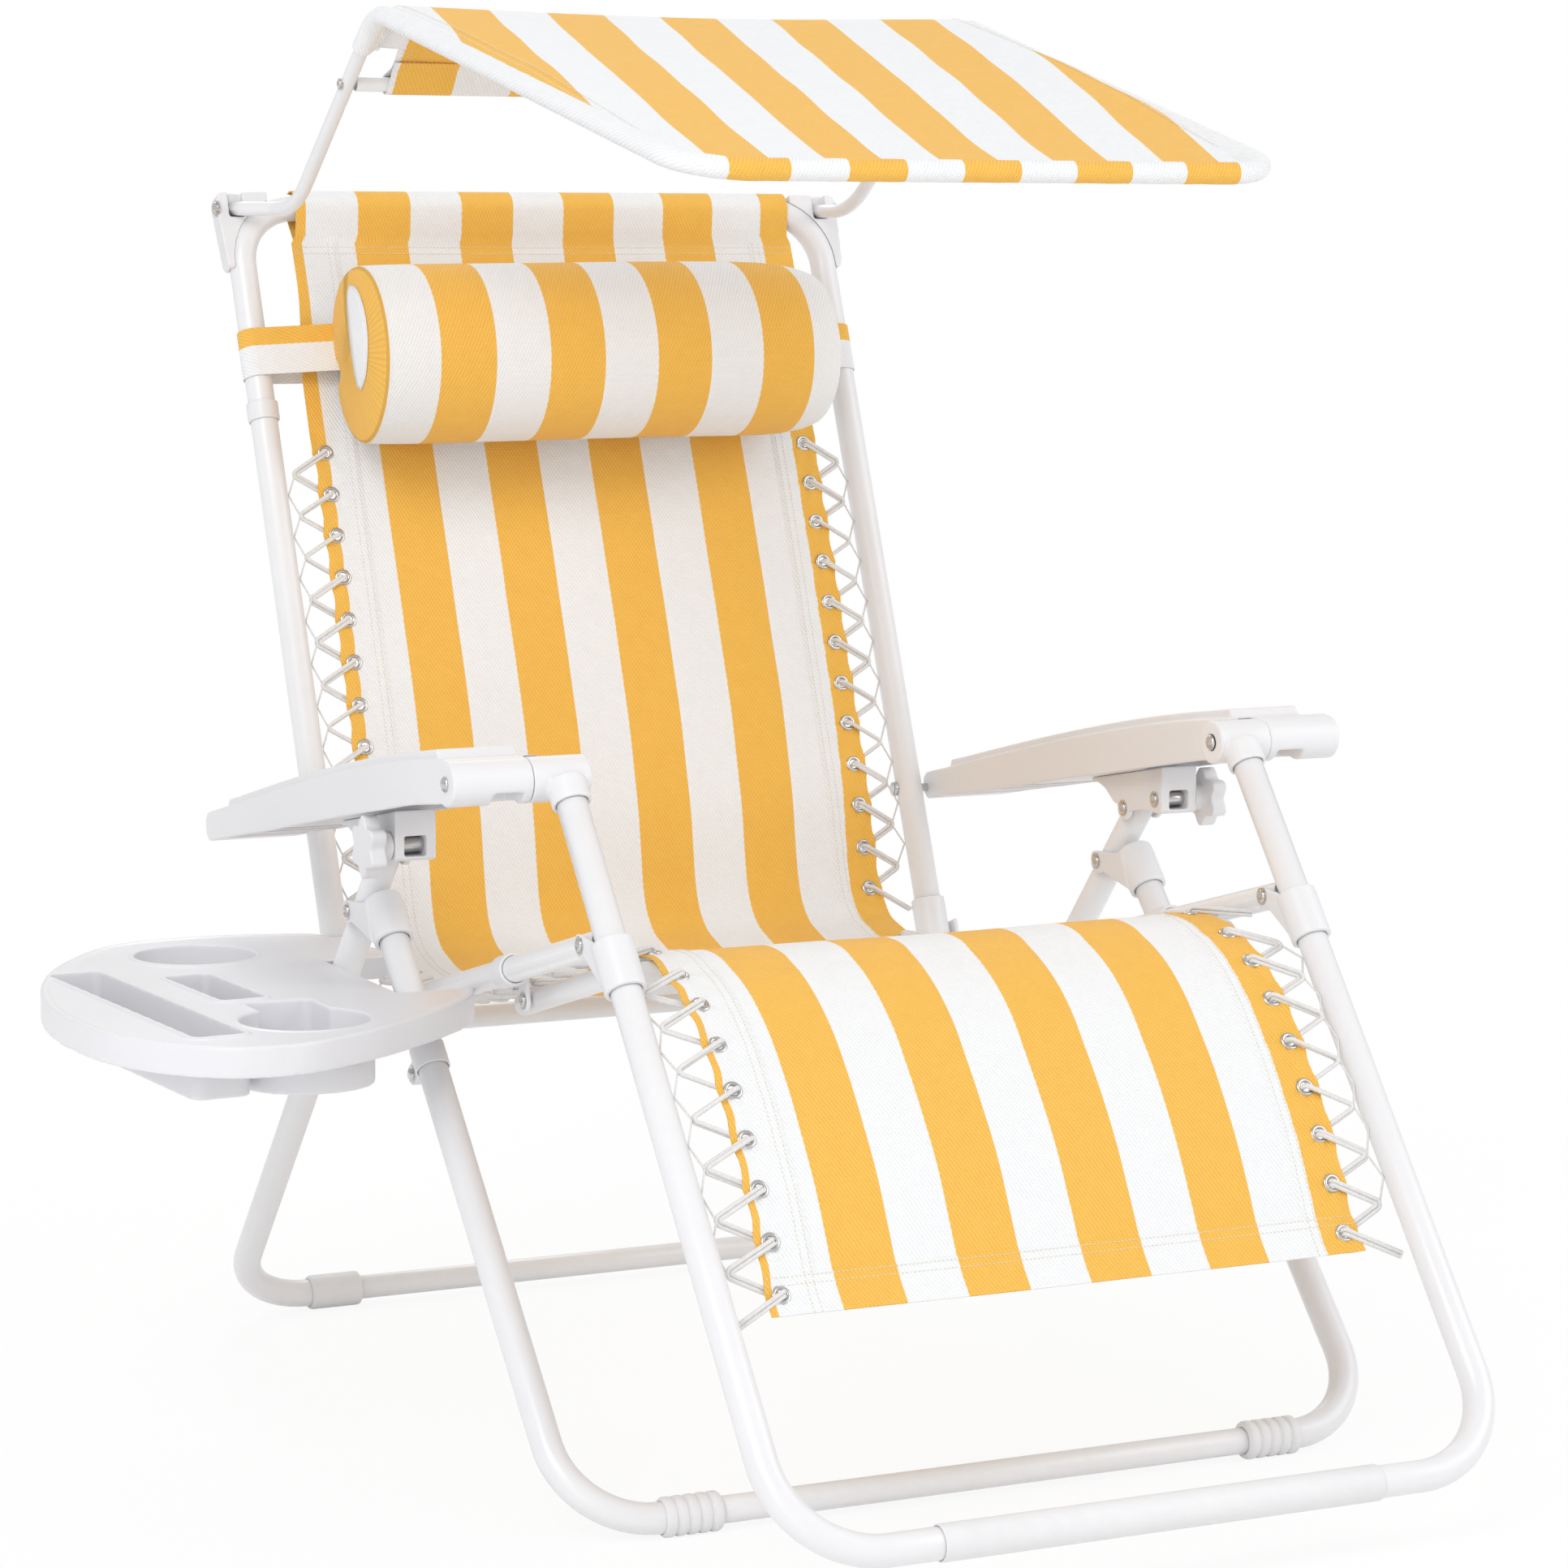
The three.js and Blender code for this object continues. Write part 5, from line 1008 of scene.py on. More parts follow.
def makePins(s, label):
    front, rear = layout["armFront"], layout["armRear"]
    inner, outer = 290.7, arm["outer"] + 0.3
    head = [(0.05, 3.0), (3.0, 2.8), (5.2, 1.9), (6.3, 0.6), (6.4, 0), (0.05, 0)]

    def headAt(x, way):
        return latheAlongX("solid", [(r, x - way * h) for r, h in head], front)

    pin = combine(f"gripBolt.{label}", [crossRod(front, 4, s * (inner + 0.2), s * (outer - 0.2)),
                                        headAt(s * inner, s), headAt(s * outer, -s)])
    wear(smoothed(pin, 40), "steel", "arms", "bright_steel", f"grip_bolt_{label}")
    start = layout["backHalf"] - 13
    pin = combine(f"backPin.{label}", [crossRod(rear, 4, s * (start - 1.5), s * 329.3),
                                       crossRod(rear, 7, s * (start - 3), s * start)])
    wear(bevelled(pin, 0.8), "steel", "arms", "bright_steel", f"back_pin_{label}")


for s, label in labels:
    makeArm(s, label)
    makeBracket(s, label)
    makePins(s, label)
print("armrests and locks are made")

# Cloth: smooth side lines, and sheets laid along them
def smoothLine(points, gap=1.0):
    p = np.asarray(points, float)
    steps = np.diff(p, axis=0)
    spans = np.linalg.norm(steps, axis=1)
    rates = steps / spans[:, None]
    slopes = np.vstack([rates[:1], (rates[:-1] * spans[1:, None] + rates[1:] * spans[:-1, None])
                        / (spans[1:] + spans[:-1])[:, None], rates[-1:]])
    dense = []
    for i, span in enumerate(spans):
        t = np.linspace(0, 1, max(2, int(span / gap)), endpoint=False)[:, None]
        dense.append((2 * t**3 - 3 * t**2 + 1) * p[i] + (t**3 - 2 * t**2 + t) * span * slopes[i]
                     + (3 * t**2 - 2 * t**3) * p[i + 1] + (t**3 - t**2) * span * slopes[i + 1])
    dense = np.vstack(dense + [p[-1:]])
    runs = np.concatenate([[0], np.cumsum(np.linalg.norm(np.diff(dense, axis=0), axis=1))])
    ways = np.gradient(dense, runs, axis=0)
    return {"run": runs, "at": dense, "way": ways / np.linalg.norm(ways, axis=1)[:, None], "length": float(runs[-1])}


def onLine(line, runs):
    runs = np.asarray(runs, float)
    at = np.stack([np.interp(runs, line["run"], line["at"][:, i]) for i in (0, 1)], axis=-1)
    way = np.stack([np.interp(runs, line["run"], line["way"][:, i]) for i in (0, 1)], axis=-1)
    way = way / np.linalg.norm(way, axis=-1)[..., None]
    return at, way, np.stack([-way[..., 1], way[..., 0]], axis=-1)


def nearestRun(line, place):
    return float(line["run"][np.argmin(np.linalg.norm(line["at"] - np.asarray(place), axis=1))])


def walked(points, count, start, end):
    # Places at even shares of a line of side places
    p = np.asarray(points, float)
    runs = np.concatenate([[0], np.cumsum(np.linalg.norm(np.diff(p, axis=0), axis=1))])
    spots = np.linspace(start, end, count) * runs[-1]
    return np.stack([np.interp(spots, runs, p[:, i]) for i in (0, 1)], axis=-1)


def smoothStep(values, low, high):
    t = np.clip((np.asarray(values, float) - low) / (high - low), 0, 1)
    return t * t * (3 - 2 * t)


def loopRows(centre, toward, outward, distance, radius, gap, tail):
    # Side places of a hem that wraps a bar: from its seam, round the bar, and back under the seam
    centre, toward, outward = (np.asarray(v, float) for v in (centre, toward, outward))
    seam, open_ = centre + toward * distance, math.acos(radius / distance)

    def ring(a):
        return centre + toward * radius * math.cos(a) + outward * radius * math.sin(a)

    first, last = ring(open_), ring(2 * math.pi - open_)
    under = seam - outward * gap
    rows = [seam + (first - seam) * t for t in (0.25, 0.5, 0.75)]
    rows += [ring(open_ + (2 * math.pi - 2 * open_) * i / 22) for i in range(23)]
    rows += [last + (under - last) * t for t in (0.25, 0.5, 0.75, 1)]
    return rows + [under + toward * tail * t for t in (0.5, 1)]


def gridSheet(name, points, uvs, missing=(), thickness=1.2):
    # A sheet from rows of points; cells listed in missing are left open, and the sheet is given its thickness
    rows, columns = points.shape[:2]
    faces = [(i * columns + j, i * columns + j + 1, (i + 1) * columns + j + 1, (i + 1) * columns + j)
             for i in range(rows - 1) for j in range(columns - 1) if (i, j) not in missing]
    used, places = np.unique(np.array(faces), return_inverse=True)
    obj = makePiece(name, points.reshape(-1, 3)[used], places.reshape(-1, 4).tolist(), uvs.reshape(-1, 2)[used])
    return smoothed(thicken(obj, thickness), 50)


sling = {
    "leg": [(-591, 205), (-578, 221), (-559, 257), (-539.5, 294), (-515, 331), (-489, 365), (-459, 397), (-423, 422),
            (-402, 431.5), (-385, 437)],
    "seat": [(-373, 440.5), (-352, 443.3), (-330, 442.5), (-290, 432), (-230, 412.5), (-138, 386), (-60, 368),
             (7, 355), (70, 346.5), (130, 343), (180, 344), (211, 348)],
    "back": [(222, 351.5), (243, 359), (260, 374), (270, 393), (278, 420), (290, 465), (306, 511), (416.5, 806)],
    "edge": 262, "legEdge": 264, "eyelet": 249, "hem": 216, "hemRise": 0.9, "stitches": (220, 226.5), "bottomHem": 34,
    "seamDrop": 36, "sleeveRadius": 15.4, "sleeveEdge": 258, "hole": 5.0, "scallop": 2.4,
    "sagAt": [-591, -480, -385, -372, -340, -300, -60, 130, 222, 270, 306, 416, 495],
    "sag": [2, 6, 1.5, 0.3, 0.3, 2, 12, 6, 3, 3, 5, 6, 1],
}
slingTop = step(layout["backBar"], backUp, -sling["seamDrop"])
slingLine = smoothLine(sling["leg"] + sling["seat"] + sling["back"] + [slingTop])
legEnd = nearestRun(slingLine, sling["leg"][-1])
meeting = nearestRun(slingLine, (-138, 386))
backRun = nearestRun(slingLine, sling["back"][0])
eyes = {
    "leg": walked(sling["leg"], 8, 0.055, 0.97), "seat": walked(sling["seat"], 13, 0.06, 0.97),
    "back": walked(sling["back"] + [step(layout["backBar"], backUp, -13.46)], 12, 0.075, 0.685),
}
eyeRuns = {name: [nearestRun(slingLine, place) for place in places] for name, places in eyes.items()}
allEyes = sorted(run for runs in eyeRuns.values() for run in runs)


def offLine(x, at, normal, rise):
    return np.stack([x, at[..., 0] + normal[..., 0] * rise, at[..., 1] + normal[..., 1] * rise], axis=-1), normal


def slingAt(run, x, lift=0.0):
    # The sling's surface: [x, y, z] and its side normal at a run along it and a distance across it
    run, x = np.broadcast_arrays(np.asarray(run, float), np.asarray(x, float))
    at, _, normal = onLine(slingLine, run)
    half = sling["edge"] + (sling["legEdge"] - sling["edge"]) * smoothStep(-run, -legEnd - 30, -legEnd)
    out = np.abs(x)
    rise = -np.interp(at[..., 0], sling["sagAt"], sling["sag"]) * (1 - (x / half) ** 2)
    hem = np.maximum(smoothStep(out, sling["hem"], sling["hem"] + 1.2),
                     smoothStep(-run, -sling["bottomHem"] - 0.5, -sling["bottomHem"] + 0.7))
    rise = rise + sling["hemRise"] * hem
    rise = rise + 0.45 * np.sin(x * 0.024 + run * 0.011) * np.sin(run * 0.019 + 1.3)
    rise = rise + 0.25 * np.sin(run * 0.061 - x * 0.013)
    for eye in allEyes:
        for s in (-1, 1):
            a, b = s * (s * x - sling["eyelet"]), run - eye
            d = np.hypot(a, b)
            fold = np.cos(5 * np.arctan2(b, -s * a) + eye)
            rise = rise + 0.9 * np.exp(-((d - 12) / 13) ** 2) * fold - 0.5 * np.exp(-(d / 9) ** 2)
    gap = np.interp(run, allEyes, np.arange(len(allEyes)))
    drawn = np.sin(math.pi * (gap - np.floor(gap))) ** 2
    x = x - np.sign(x) * sling["scallop"] * drawn * smoothStep(out, 232, half)
    widen = 1 + (half / sling["edge"] - 1) * smoothStep(out, 150, sling["edge"])
    return offLine(x * widen + slingShift(run)[0], at, normal, rise + lift)


def slingShift(run):
    # The cloth sits a little to one side behind the pillow, and its stripes drift across as they climb the back
    behind = smoothStep(run, slingLine["length"] - 150, slingLine["length"] - 40)
    return 9 * behind, 9 * smoothStep(run, backRun, backRun + 260) - 5 * behind


def slingRows(start, end, extra=()):
    inside = [eye for eye in allEyes if start < eye < end]
    even = np.linspace(start, end, int((end - start) / 7) + 1)
    rows = [r for r in even if all(abs(r - eye) > 11 for eye in inside) or r in (start, end)]
    rows += [eye + d for eye in inside for d in (-8, -4, 0, 4, 8)] + list(extra)
    return np.unique(np.round(rows, 4))


slingColumns = [*range(0, 161, 16), 175, 188, 199, 208, 214, 216, 217.2, 222, 228, 234, 240, 245, 249, 253, 257, 260, 262]
slingColumns = np.array([-x for x in slingColumns[:0:-1]] + slingColumns, float)


def makeSlingPart(name, start, end, extra, sleeve, nodes, joint):
    rows = slingRows(start, end, extra)
    points, _ = slingAt(rows[:, None], slingColumns[None, :])
    missing = set()
    for i, row in enumerate(rows):
        if min(abs(row - eye) for eye in allEyes) > 0.01:
            continue
        for j, x in enumerate(slingColumns):
            if abs(abs(x) - sling["eyelet"]) > 0.1:
                continue
            missing |= {(i - 1, j - 1), (i - 1, j), (i, j - 1), (i, j)}
            middle = points[i, j].copy()
            for di in (-1, 0, 1):
                for dj in (-1, 0, 1):
                    if di or dj:
                        away = points[i + di, j + dj] - middle
                        points[i + di, j + dj] = middle + away / np.linalg.norm(away) * sling["hole"]
    lengths = list(rows)
    if sleeve:
        narrow = slingColumns * sling["sleeveEdge"] / sling["edge"] + slingShift(slingLine["length"])[0]
        last, before = lengths[-1], np.array(slingTop)
        for place in loopRows(layout["backBar"], (-backUp[0], -backUp[1]), backForward, sling["seamDrop"],
                              sling["sleeveRadius"], 2.4, 14):
            last += float(np.linalg.norm(place - before))
            before = place
            row = np.stack([narrow, np.full_like(narrow, place[0]), np.full_like(narrow, place[1])], axis=-1)
            points = np.concatenate([points, row[None]])
            lengths.append(last)
    drift = slingShift(np.array(lengths))[1]
    across = (slingColumns[None, :] - drift[:, None]) / 1000
    along = np.broadcast_to(np.array(lengths)[:, None] / 1000, across.shape)
    obj = gridSheet(name, points, np.stack([across, along], axis=-1), missing)
    wear(obj, "sling", joint, "striped_cloth", *nodes)
    return obj


frontJoint = ("footrest", "seat", inFrame((0, -402, 431.5)).tolist(), inFrame((0, -345, 443)).tolist())
rearJoint = ("seat", "back", inFrame((0, 195, 345)).tolist(), inFrame((0, 220, 387.5)).tolist())
makeSlingPart("slingFront", 0.0, meeting, (33.4, 34.6), False, ("leg_fabric",), frontJoint)
makeSlingPart("slingRear", meeting, slingLine["length"], (), True, ("seat_fabric", "back_fabric"), rearJoint)
print("sling is laid")


# Node groups that grow the small repeated parts: stitches, eyelets and rivets
def newGrowth(name, numbers):
    tree = bpy.data.node_groups.new(name, "GeometryNodeTree")
    tree.interface.new_socket("Geometry", in_out="INPUT", socket_type="NodeSocketGeometry")
    for label, value in numbers:
        tree.interface.new_socket(label, in_out="INPUT", socket_type="NodeSocketFloat").default_value = value
    tree.interface.new_socket("Finish", in_out="INPUT", socket_type="NodeSocketMaterial")
    tree.interface.new_socket("Geometry", in_out="OUTPUT", socket_type="NodeSocketGeometry")
    return tree, tree.nodes.new("NodeGroupInput"), tree.nodes.new("NodeGroupOutput")


def scaledBy(tree, x, y, z):
    node = tree.nodes.new("ShaderNodeCombineXYZ")
    for i, value in enumerate((x, y, z)):
        if isinstance(value, (int, float)):
            node.inputs[i].default_value = value
        else:
            tree.links.new(value, node.inputs[i])
    return node.outputs[0]


def planted(tree, points, shape, facing, size, given, out):
    turn = tree.nodes.new("FunctionNodeAlignRotationToVector")
    turn.axis = "Z"
    tree.links.new(facing, turn.inputs["Vector"])
    plant = tree.nodes.new("GeometryNodeInstanceOnPoints")
    tree.links.new(points, plant.inputs["Points"])
    tree.links.new(shape, plant.inputs["Instance"])
    tree.links.new(turn.outputs[0], plant.inputs["Rotation"])
    if size is not None:
        tree.links.new(size, plant.inputs["Scale"])
    real, paint = tree.nodes.new("GeometryNodeRealizeInstances"), tree.nodes.new("GeometryNodeSetMaterial")
    tree.links.new(plant.outputs[0], real.inputs[0])
    tree.links.new(real.outputs[0], paint.inputs["Geometry"])
    tree.links.new(given.outputs["Finish"], paint.inputs["Material"])
    tree.links.new(paint.outputs[0], out.inputs[0])


def named(tree, label, kind):
    node = tree.nodes.new("GeometryNodeInputNamedAttribute")
    node.data_type = kind
    node.inputs["Name"].default_value = label
    return node.outputs["Attribute"]


def stitchGrowth():
    tree, given, out = newGrowth("stitchRow", [("Pitch", 0.0036), ("Length", 0.0027), ("Width", 0.0009)])
    curve, points = tree.nodes.new("GeometryNodeMeshToCurve"), tree.nodes.new("GeometryNodeCurveToPoints")
    points.mode = "LENGTH"
    tree.links.new(given.outputs["Geometry"], curve.inputs[0])
    tree.links.new(curve.outputs[0], points.inputs["Curve"])
    tree.links.new(given.outputs["Pitch"], points.inputs["Length"])
    bead = tree.nodes.new("GeometryNodeMeshIcoSphere")
    bead.inputs["Radius"].default_value = 0.5
    bead.inputs["Subdivisions"].default_value = 1
    size = scaledBy(tree, given.outputs["Width"], given.outputs["Width"], given.outputs["Length"])
    planted(tree, points.outputs["Points"], bead.outputs["Mesh"], points.outputs["Tangent"], size, given, out)
    return tree


def eyeletGrowth():
    tree, given, out = newGrowth("eyeletRing", [("Radius", 0.0061), ("Wire", 0.0019), ("Flatness", 0.75)])
    ring, wire = tree.nodes.new("GeometryNodeCurvePrimitiveCircle"), tree.nodes.new("GeometryNodeCurvePrimitiveCircle")
    ring.inputs["Resolution"].default_value = 28
    wire.inputs["Resolution"].default_value = 10
    tree.links.new(given.outputs["Radius"], ring.inputs["Radius"])
    tree.links.new(given.outputs["Wire"], wire.inputs["Radius"])
    swept, flat = tree.nodes.new("GeometryNodeCurveToMesh"), tree.nodes.new("GeometryNodeTransform")
    tree.links.new(ring.outputs[0], swept.inputs["Curve"])
    tree.links.new(wire.outputs[0], swept.inputs["Profile Curve"])
    tree.links.new(swept.outputs[0], flat.inputs["Geometry"])
    tree.links.new(scaledBy(tree, 1, 1, given.outputs["Flatness"]), flat.inputs["Scale"])
    planted(tree, given.outputs["Geometry"], flat.outputs[0], named(tree, "facing", "FLOAT_VECTOR"),
            named(tree, "size", "FLOAT"), given, out)
    return tree


def rivetGrowth():
    tree, given, out = newGrowth("domedRivet", [("Washer", 0.0074), ("Dome", 0.0055), ("Height", 0.5)])
    disc = tree.nodes.new("GeometryNodeMeshCylinder")
    disc.inputs["Vertices"].default_value = 32
    disc.inputs["Depth"].default_value = 0.0016
    tree.links.new(given.outputs["Washer"], disc.inputs["Radius"])
    ball = tree.nodes.new("GeometryNodeMeshUVSphere")
    ball.inputs["Segments"].default_value = 24
    ball.inputs["Rings"].default_value = 12
    tree.links.new(given.outputs["Dome"], ball.inputs["Radius"])
    low, joined = tree.nodes.new("GeometryNodeTransform"), tree.nodes.new("GeometryNodeJoinGeometry")
    tree.links.new(ball.outputs["Mesh"], low.inputs["Geometry"])
    low.inputs["Translation"].default_value = (0, 0, 0.0008)
    tree.links.new(scaledBy(tree, 1, 1, given.outputs["Height"]), low.inputs["Scale"])
    tree.links.new(disc.outputs["Mesh"], joined.inputs[0])
    tree.links.new(low.outputs[0], joined.inputs[0])
    planted(tree, given.outputs["Geometry"], joined.outputs[0], named(tree, "facing", "FLOAT_VECTOR"),
            named(tree, "size", "FLOAT"), given, out)
    return tree


growth = {"stitch": stitchGrowth(), "eyelet": eyeletGrowth(), "rivet": rivetGrowth()}


def grow(name, kind, material, points, edges=(), facing=None, sizes=None, **values):
    mesh = bpy.data.meshes.new(name)
    mesh.from_pydata(inFrame(points).tolist(), list(edges), [])
    if facing is not None:
        mesh.attributes.new("facing", "FLOAT_VECTOR", "POINT").data.foreach_set("vector", np.ravel(facing))
        mesh.attributes.new("size", "FLOAT", "POINT").data.foreach_set("value", np.ravel(sizes))
    obj = bpy.data.objects.new(name, mesh)
    scene.collection.objects.link(obj)
    live = obj.modifiers.new(kind, "NODES")
    live.node_group = growth[kind]
    for item in growth[kind].interface.items_tree:
        if item.item_type != "SOCKET" or item.in_out != "INPUT":
            continue
        if item.name in values:
            live[item.identifier] = values[item.name]
        elif item.name == "Finish":
            live[item.identifier] = finish[material]
    return smoothed(settle(obj), 55)


def seamsThrough(name, lines, body, slot, pitch=3.6, length=2.7, width=0.95):
    points, edges = [], []
    for line in lines:
        start = len(points)
        points += [tuple(p) for p in line]
        edges += [(k, k + 1) for k in range(start, start + len(line) - 1)]
    obj = grow(name, "stitch", "thread", points, edges, Pitch=pitch / 1000, Length=length / 1000, Width=width / 1000)
    return wear(obj, "thread", body, slot)


def slingSeams():
    top, above = slingLine["length"], 0.75
    for name, start, end, joint in (("front", 1.0, meeting, frontJoint), ("rear", meeting, top - 1, rearJoint)):
        lines = []
        runs = np.linspace(start, end, int((end - start) / 5))
        for x in sling["stitches"]:
            for s in (-1, 1):
                lines.append(slingAt(runs, s * x, above)[0])
        across = np.linspace(-sling["edge"] + 3, sling["edge"] - 3, 110)
        drops = (25, 31.5) if name == "front" else (top - 4, top - 10.5)
        lines += [slingAt(np.full_like(across, run), across, above)[0] for run in drops]
        seamsThrough(f"slingStitches.{name}", lines, joint, "striped_cloth")
        places, ways = [], []
        for run in allEyes:
            if not start <= run < end:
                continue
            for s in (-1, 1):
                point, normal = slingAt(run, s * sling["eyelet"], 0.7)
                places.append(point)
                ways.append((0, *normal))
        obj = grow(f"eyelets.{name}", "eyelet", "steel", places, facing=ways, sizes=[1.0] * len(places))
        wear(obj, "steel", joint, "bright_steel")


def setRivets(body):
    places = rivetPlaces[body]
    rivets = grow(f"rivets.{body}", "rivet", "steel", [p[:3] for p in places],
                  facing=[(p[3], 0, 0) for p in places], sizes=[p[4] for p in places])
    wear(rivets, "steel", body, "bright_steel")


slingSeams()
for body in rivetPlaces:
    setRivets(body)
print("stitches, eyelets and rivets are set")


# Lacing: a flat double cord from eyelet to eyelet, held off the tube by a thin zigzag cord
def strands(stations, tangents, start, spread, radius, sides=8):
    points, faces = [], []
    lateral, before = Vector(start), tangents[0]
    rows = []
    for tangent in tangents:
        lateral = before.rotation_difference(tangent) @ lateral
        lateral = (lateral - tangent * lateral.dot(tangent)).normalized()
        rows.append((lateral.copy(), tangent.cross(lateral)))
        before = tangent
    for offset in ((-spread, spread) if spread else (0,)):
        first = len(points)
        for station, (a, b) in zip(stations, rows):
            middle = station + a * offset
            for k in range(sides):
                angle = 2 * math.pi * k / sides
                points.append(middle + a * radius * math.cos(angle) + b * radius * math.sin(angle))
        faces += [tuple(first + v for v in face) for face in ringsToFaces(len(stations), sides)]
    return points, faces


lacing = {
    "leg": {"body": "footrest", "turn": 293.0, "axis": layout["footTop"], "way": footRun, "x": 312, "radius": 12.7},
    "seat": {"body": "seat", "turn": 291.0, "axis": layout["seatFront"], "way": railUnit, "x": 312, "radius": 11},
    "back": {"body": "back", "turn": 284.0, "axis": layout["seatRear"], "way": backUp, "x": 304, "radius": 12.7},
}


def makeLacing(panel, s, label):
    lace = lacing[panel]
    at, way, normal = onLine(slingLine, eyeRuns[panel])
    count, eye = len(at), s * sling["eyelet"]

    turns = [(at[i] + at[i - 1]) / 2 for i in range(1, count)]
    corners, radii = [], []
    for i in range(count - 1, -1, -1):
        corners += [side(eye, at[i] - normal[i] * 4.4), side(eye, at[i] + normal[i] * 4.8)]
        radii += [2.2, 2.2]
        if i:
            corners.append(side(s * lace["turn"], turns[i - 1]))
            radii.append(3.0)
    corners.append(side(s * (lace["turn"] + 4), at[0] - way[0] * 24))
    stations, tangents = bentPath(corners, radii[1:], 20)
    points, faces = strands(stations, tangents, side(0, way[-1]), 1.75, 1.85)
    thin = []
    for i in range(len(turns) - 1, -1, -1):
        thin.append(side(s * (lace["turn"] - 2), turns[i]))
        if i:
            middle = (turns[i] + turns[i - 1]) / 2
            axisPlace = step(lace["axis"], lace["way"], dot(between(lace["axis"], middle), lace["way"]))
            axisPoint = Vector((s * lace["x"], *axisPlace))
            reach = (side(s * lace["turn"], middle) - axisPoint).normalized()
            thin.append(axisPoint + reach * (lace["radius"] + 0.7))
    stations, tangents = bentPath(thin, [1.6] * (len(thin) - 2), 30)
    morePoints, moreFaces = strands(stations, tangents, Vector((0, 0.3, 1)), 0, 0.95, 6)
    faces += [tuple(len(points) + v for v in face) for face in moreFaces]
    obj = makePiece(f"lacing.{panel}.{label}", points + morePoints, faces, [(0, 0)] * (len(points) + len(morePoints)))
    obj.data.set_sharp_from_angle(angle=math.radians(70))
    wear(obj, "cord", lace["body"], "elastic_cord", f"{panel}_lacing_{label}")


for s, label in labels:
    for panel in lacing:
        makeLacing(panel, s, label)
print("lacing is strung")

# Canopy: one bent tube, a crossbar, and a cover sewn round them
canopy = {
    "half": 288, "frontHalf": 263, "ridge": (165, 1203), "front": (-440, 1063), "rise": (388, 1032),
    "jog": [(305, 478), (286, 444)], "bar": (244, 1142.4), "start": (204.7, 1172.6), "flap": 252, "seam": 12,
    "barSeam": 24, "round": 8.4, "bend": 55, "inset": 3, "over": 9.3,
    "rearBends": [18, 18, 110], "thickness": 1.1, "sag": 9, "stripeEdge": -33.6, "stripePair": 110,
}


def makeCanopyFrame():
    y, z = layout["canopyPivot"]
    r, half = layout["canopyRadius"], canopy["half"]

    def flank(s):
        return [Vector((s * 306, y + r, z)), *(Vector((s * x, py, z)) for x, py in canopy["jog"]),
                Vector((s * canopy["jog"][1][0], canopy["rise"][0], z)), side(s * half, canopy["ridge"]),
                side(s * canopy["frontHalf"], canopy["front"])]

    bendsThere = canopy["rearBends"] + [canopy["bend"]] * 2
    frameTube = tube("canopyTube", flank(-1) + flank(1)[::-1], bendsThere + bendsThere[::-1], r, 28, 1.0, 8)
    wear(frameTube, "tube", "canopy", "white_tube", "canopy_tube")
    bar = tube("canopyCrossbar", [side(-280, canopy["bar"]), side(280, canopy["bar"])], 0, r, 28, 1.0, 8)
    wear(bar, "tube", "canopy", "white_tube", "canopy_crossbar")
    for s, label in labels:
        addRivet("canopy", canopy["bar"], s * (half + r), s, 0.72)
        bolt = combine(f"canopyBolt.{label}", [crossRod(layout["canopyPivot"], 2.5, s * 292.2, s * 326),
                                               crossRod(layout["canopyPivot"], 6, s * 324.6, s * 327)])
        wear(bevelled(bolt, 0.6), "steel", "back", "bright_steel", f"canopy_bolt_{label}")
    setRivets("canopy")


arch = bentPath([side(0, canopy[corner]) for corner in ("front", "ridge", "bar")], [canopy["bend"]])[0]
canopyLine = smoothLine([(p.y, p.z) for p in arch])
ridgeRun = nearestRun(canopyLine, canopy["ridge"])
sleeveEnd = nearestRun(canopyLine, canopy["start"])


def canopyU(x, run):
    # Where the cover's stripes lie: they cross the slope at a slant and draw in towards the front
    run = np.asarray(run, float)
    r, w = np.clip(run, 0, ridgeRun), np.clip(run / ridgeRun, 0, 1)
    v = np.clip((run - ridgeRun) / (canopyLine["length"] - ridgeRun), 0, 1)
    edge = canopy["stripeEdge"] + 0.165 * r + 0.00005 * r * r + 5 * v
    pair = canopy["stripePair"] - 10 * (1 - w) ** 2 + 3.5 * v
    return stripeU(2 * (x - edge) / pair + 1)


def canopyInner(run):
    widest, front = canopy["half"] - canopy["inset"], canopy["frontHalf"] - canopy["inset"]
    return front + (widest - front) * np.clip(np.asarray(run, float) / ridgeRun, 0, 1)


def canopyAt(run, x, lift=0.0):
    run, x = np.broadcast_arrays(np.asarray(run, float), np.asarray(x, float))
    at, _, normal = onLine(canopyLine, run)
    share = np.clip(np.abs(x) / canopyInner(run), 0, 1)
    rise = -canopy["sag"] * (1 - share**2) * np.sin(math.pi * np.clip(run / canopyLine["length"], 0, 1)) ** 0.8
    # The cloth lies over the tops of the side tubes, and comes down to the middle of the hem's tube and the crossbar
    over = smoothStep(run, 0, 330) * (1 - smoothStep(run, sleeveEnd - 40, canopyLine["length"] - canopy["barSeam"]))
    over = over * (0.5 + 0.5 * smoothStep(canopyInner(run) - np.abs(x), 0, 12))
    waves = 0.5 * np.sin(x * 0.03 + run * 0.014) * np.sin(run * 0.021) + 0.3 * np.sin(run * 0.05 - x * 0.017)
    return offLine(x, at, normal, rise + canopy["over"] * over + waves + lift)


def canopyHalf(run):
    inner, corner = canopyInner(run), canopy["bend"] - canopy["inset"]
    d = np.clip(run - canopy["inset"], 0, corner)
    half = inner - corner + np.sqrt(np.maximum(corner**2 - (corner - d) ** 2, 0))
    return half - (inner - canopy["flap"]) * smoothStep(run, sleeveEnd, sleeveEnd + 3)


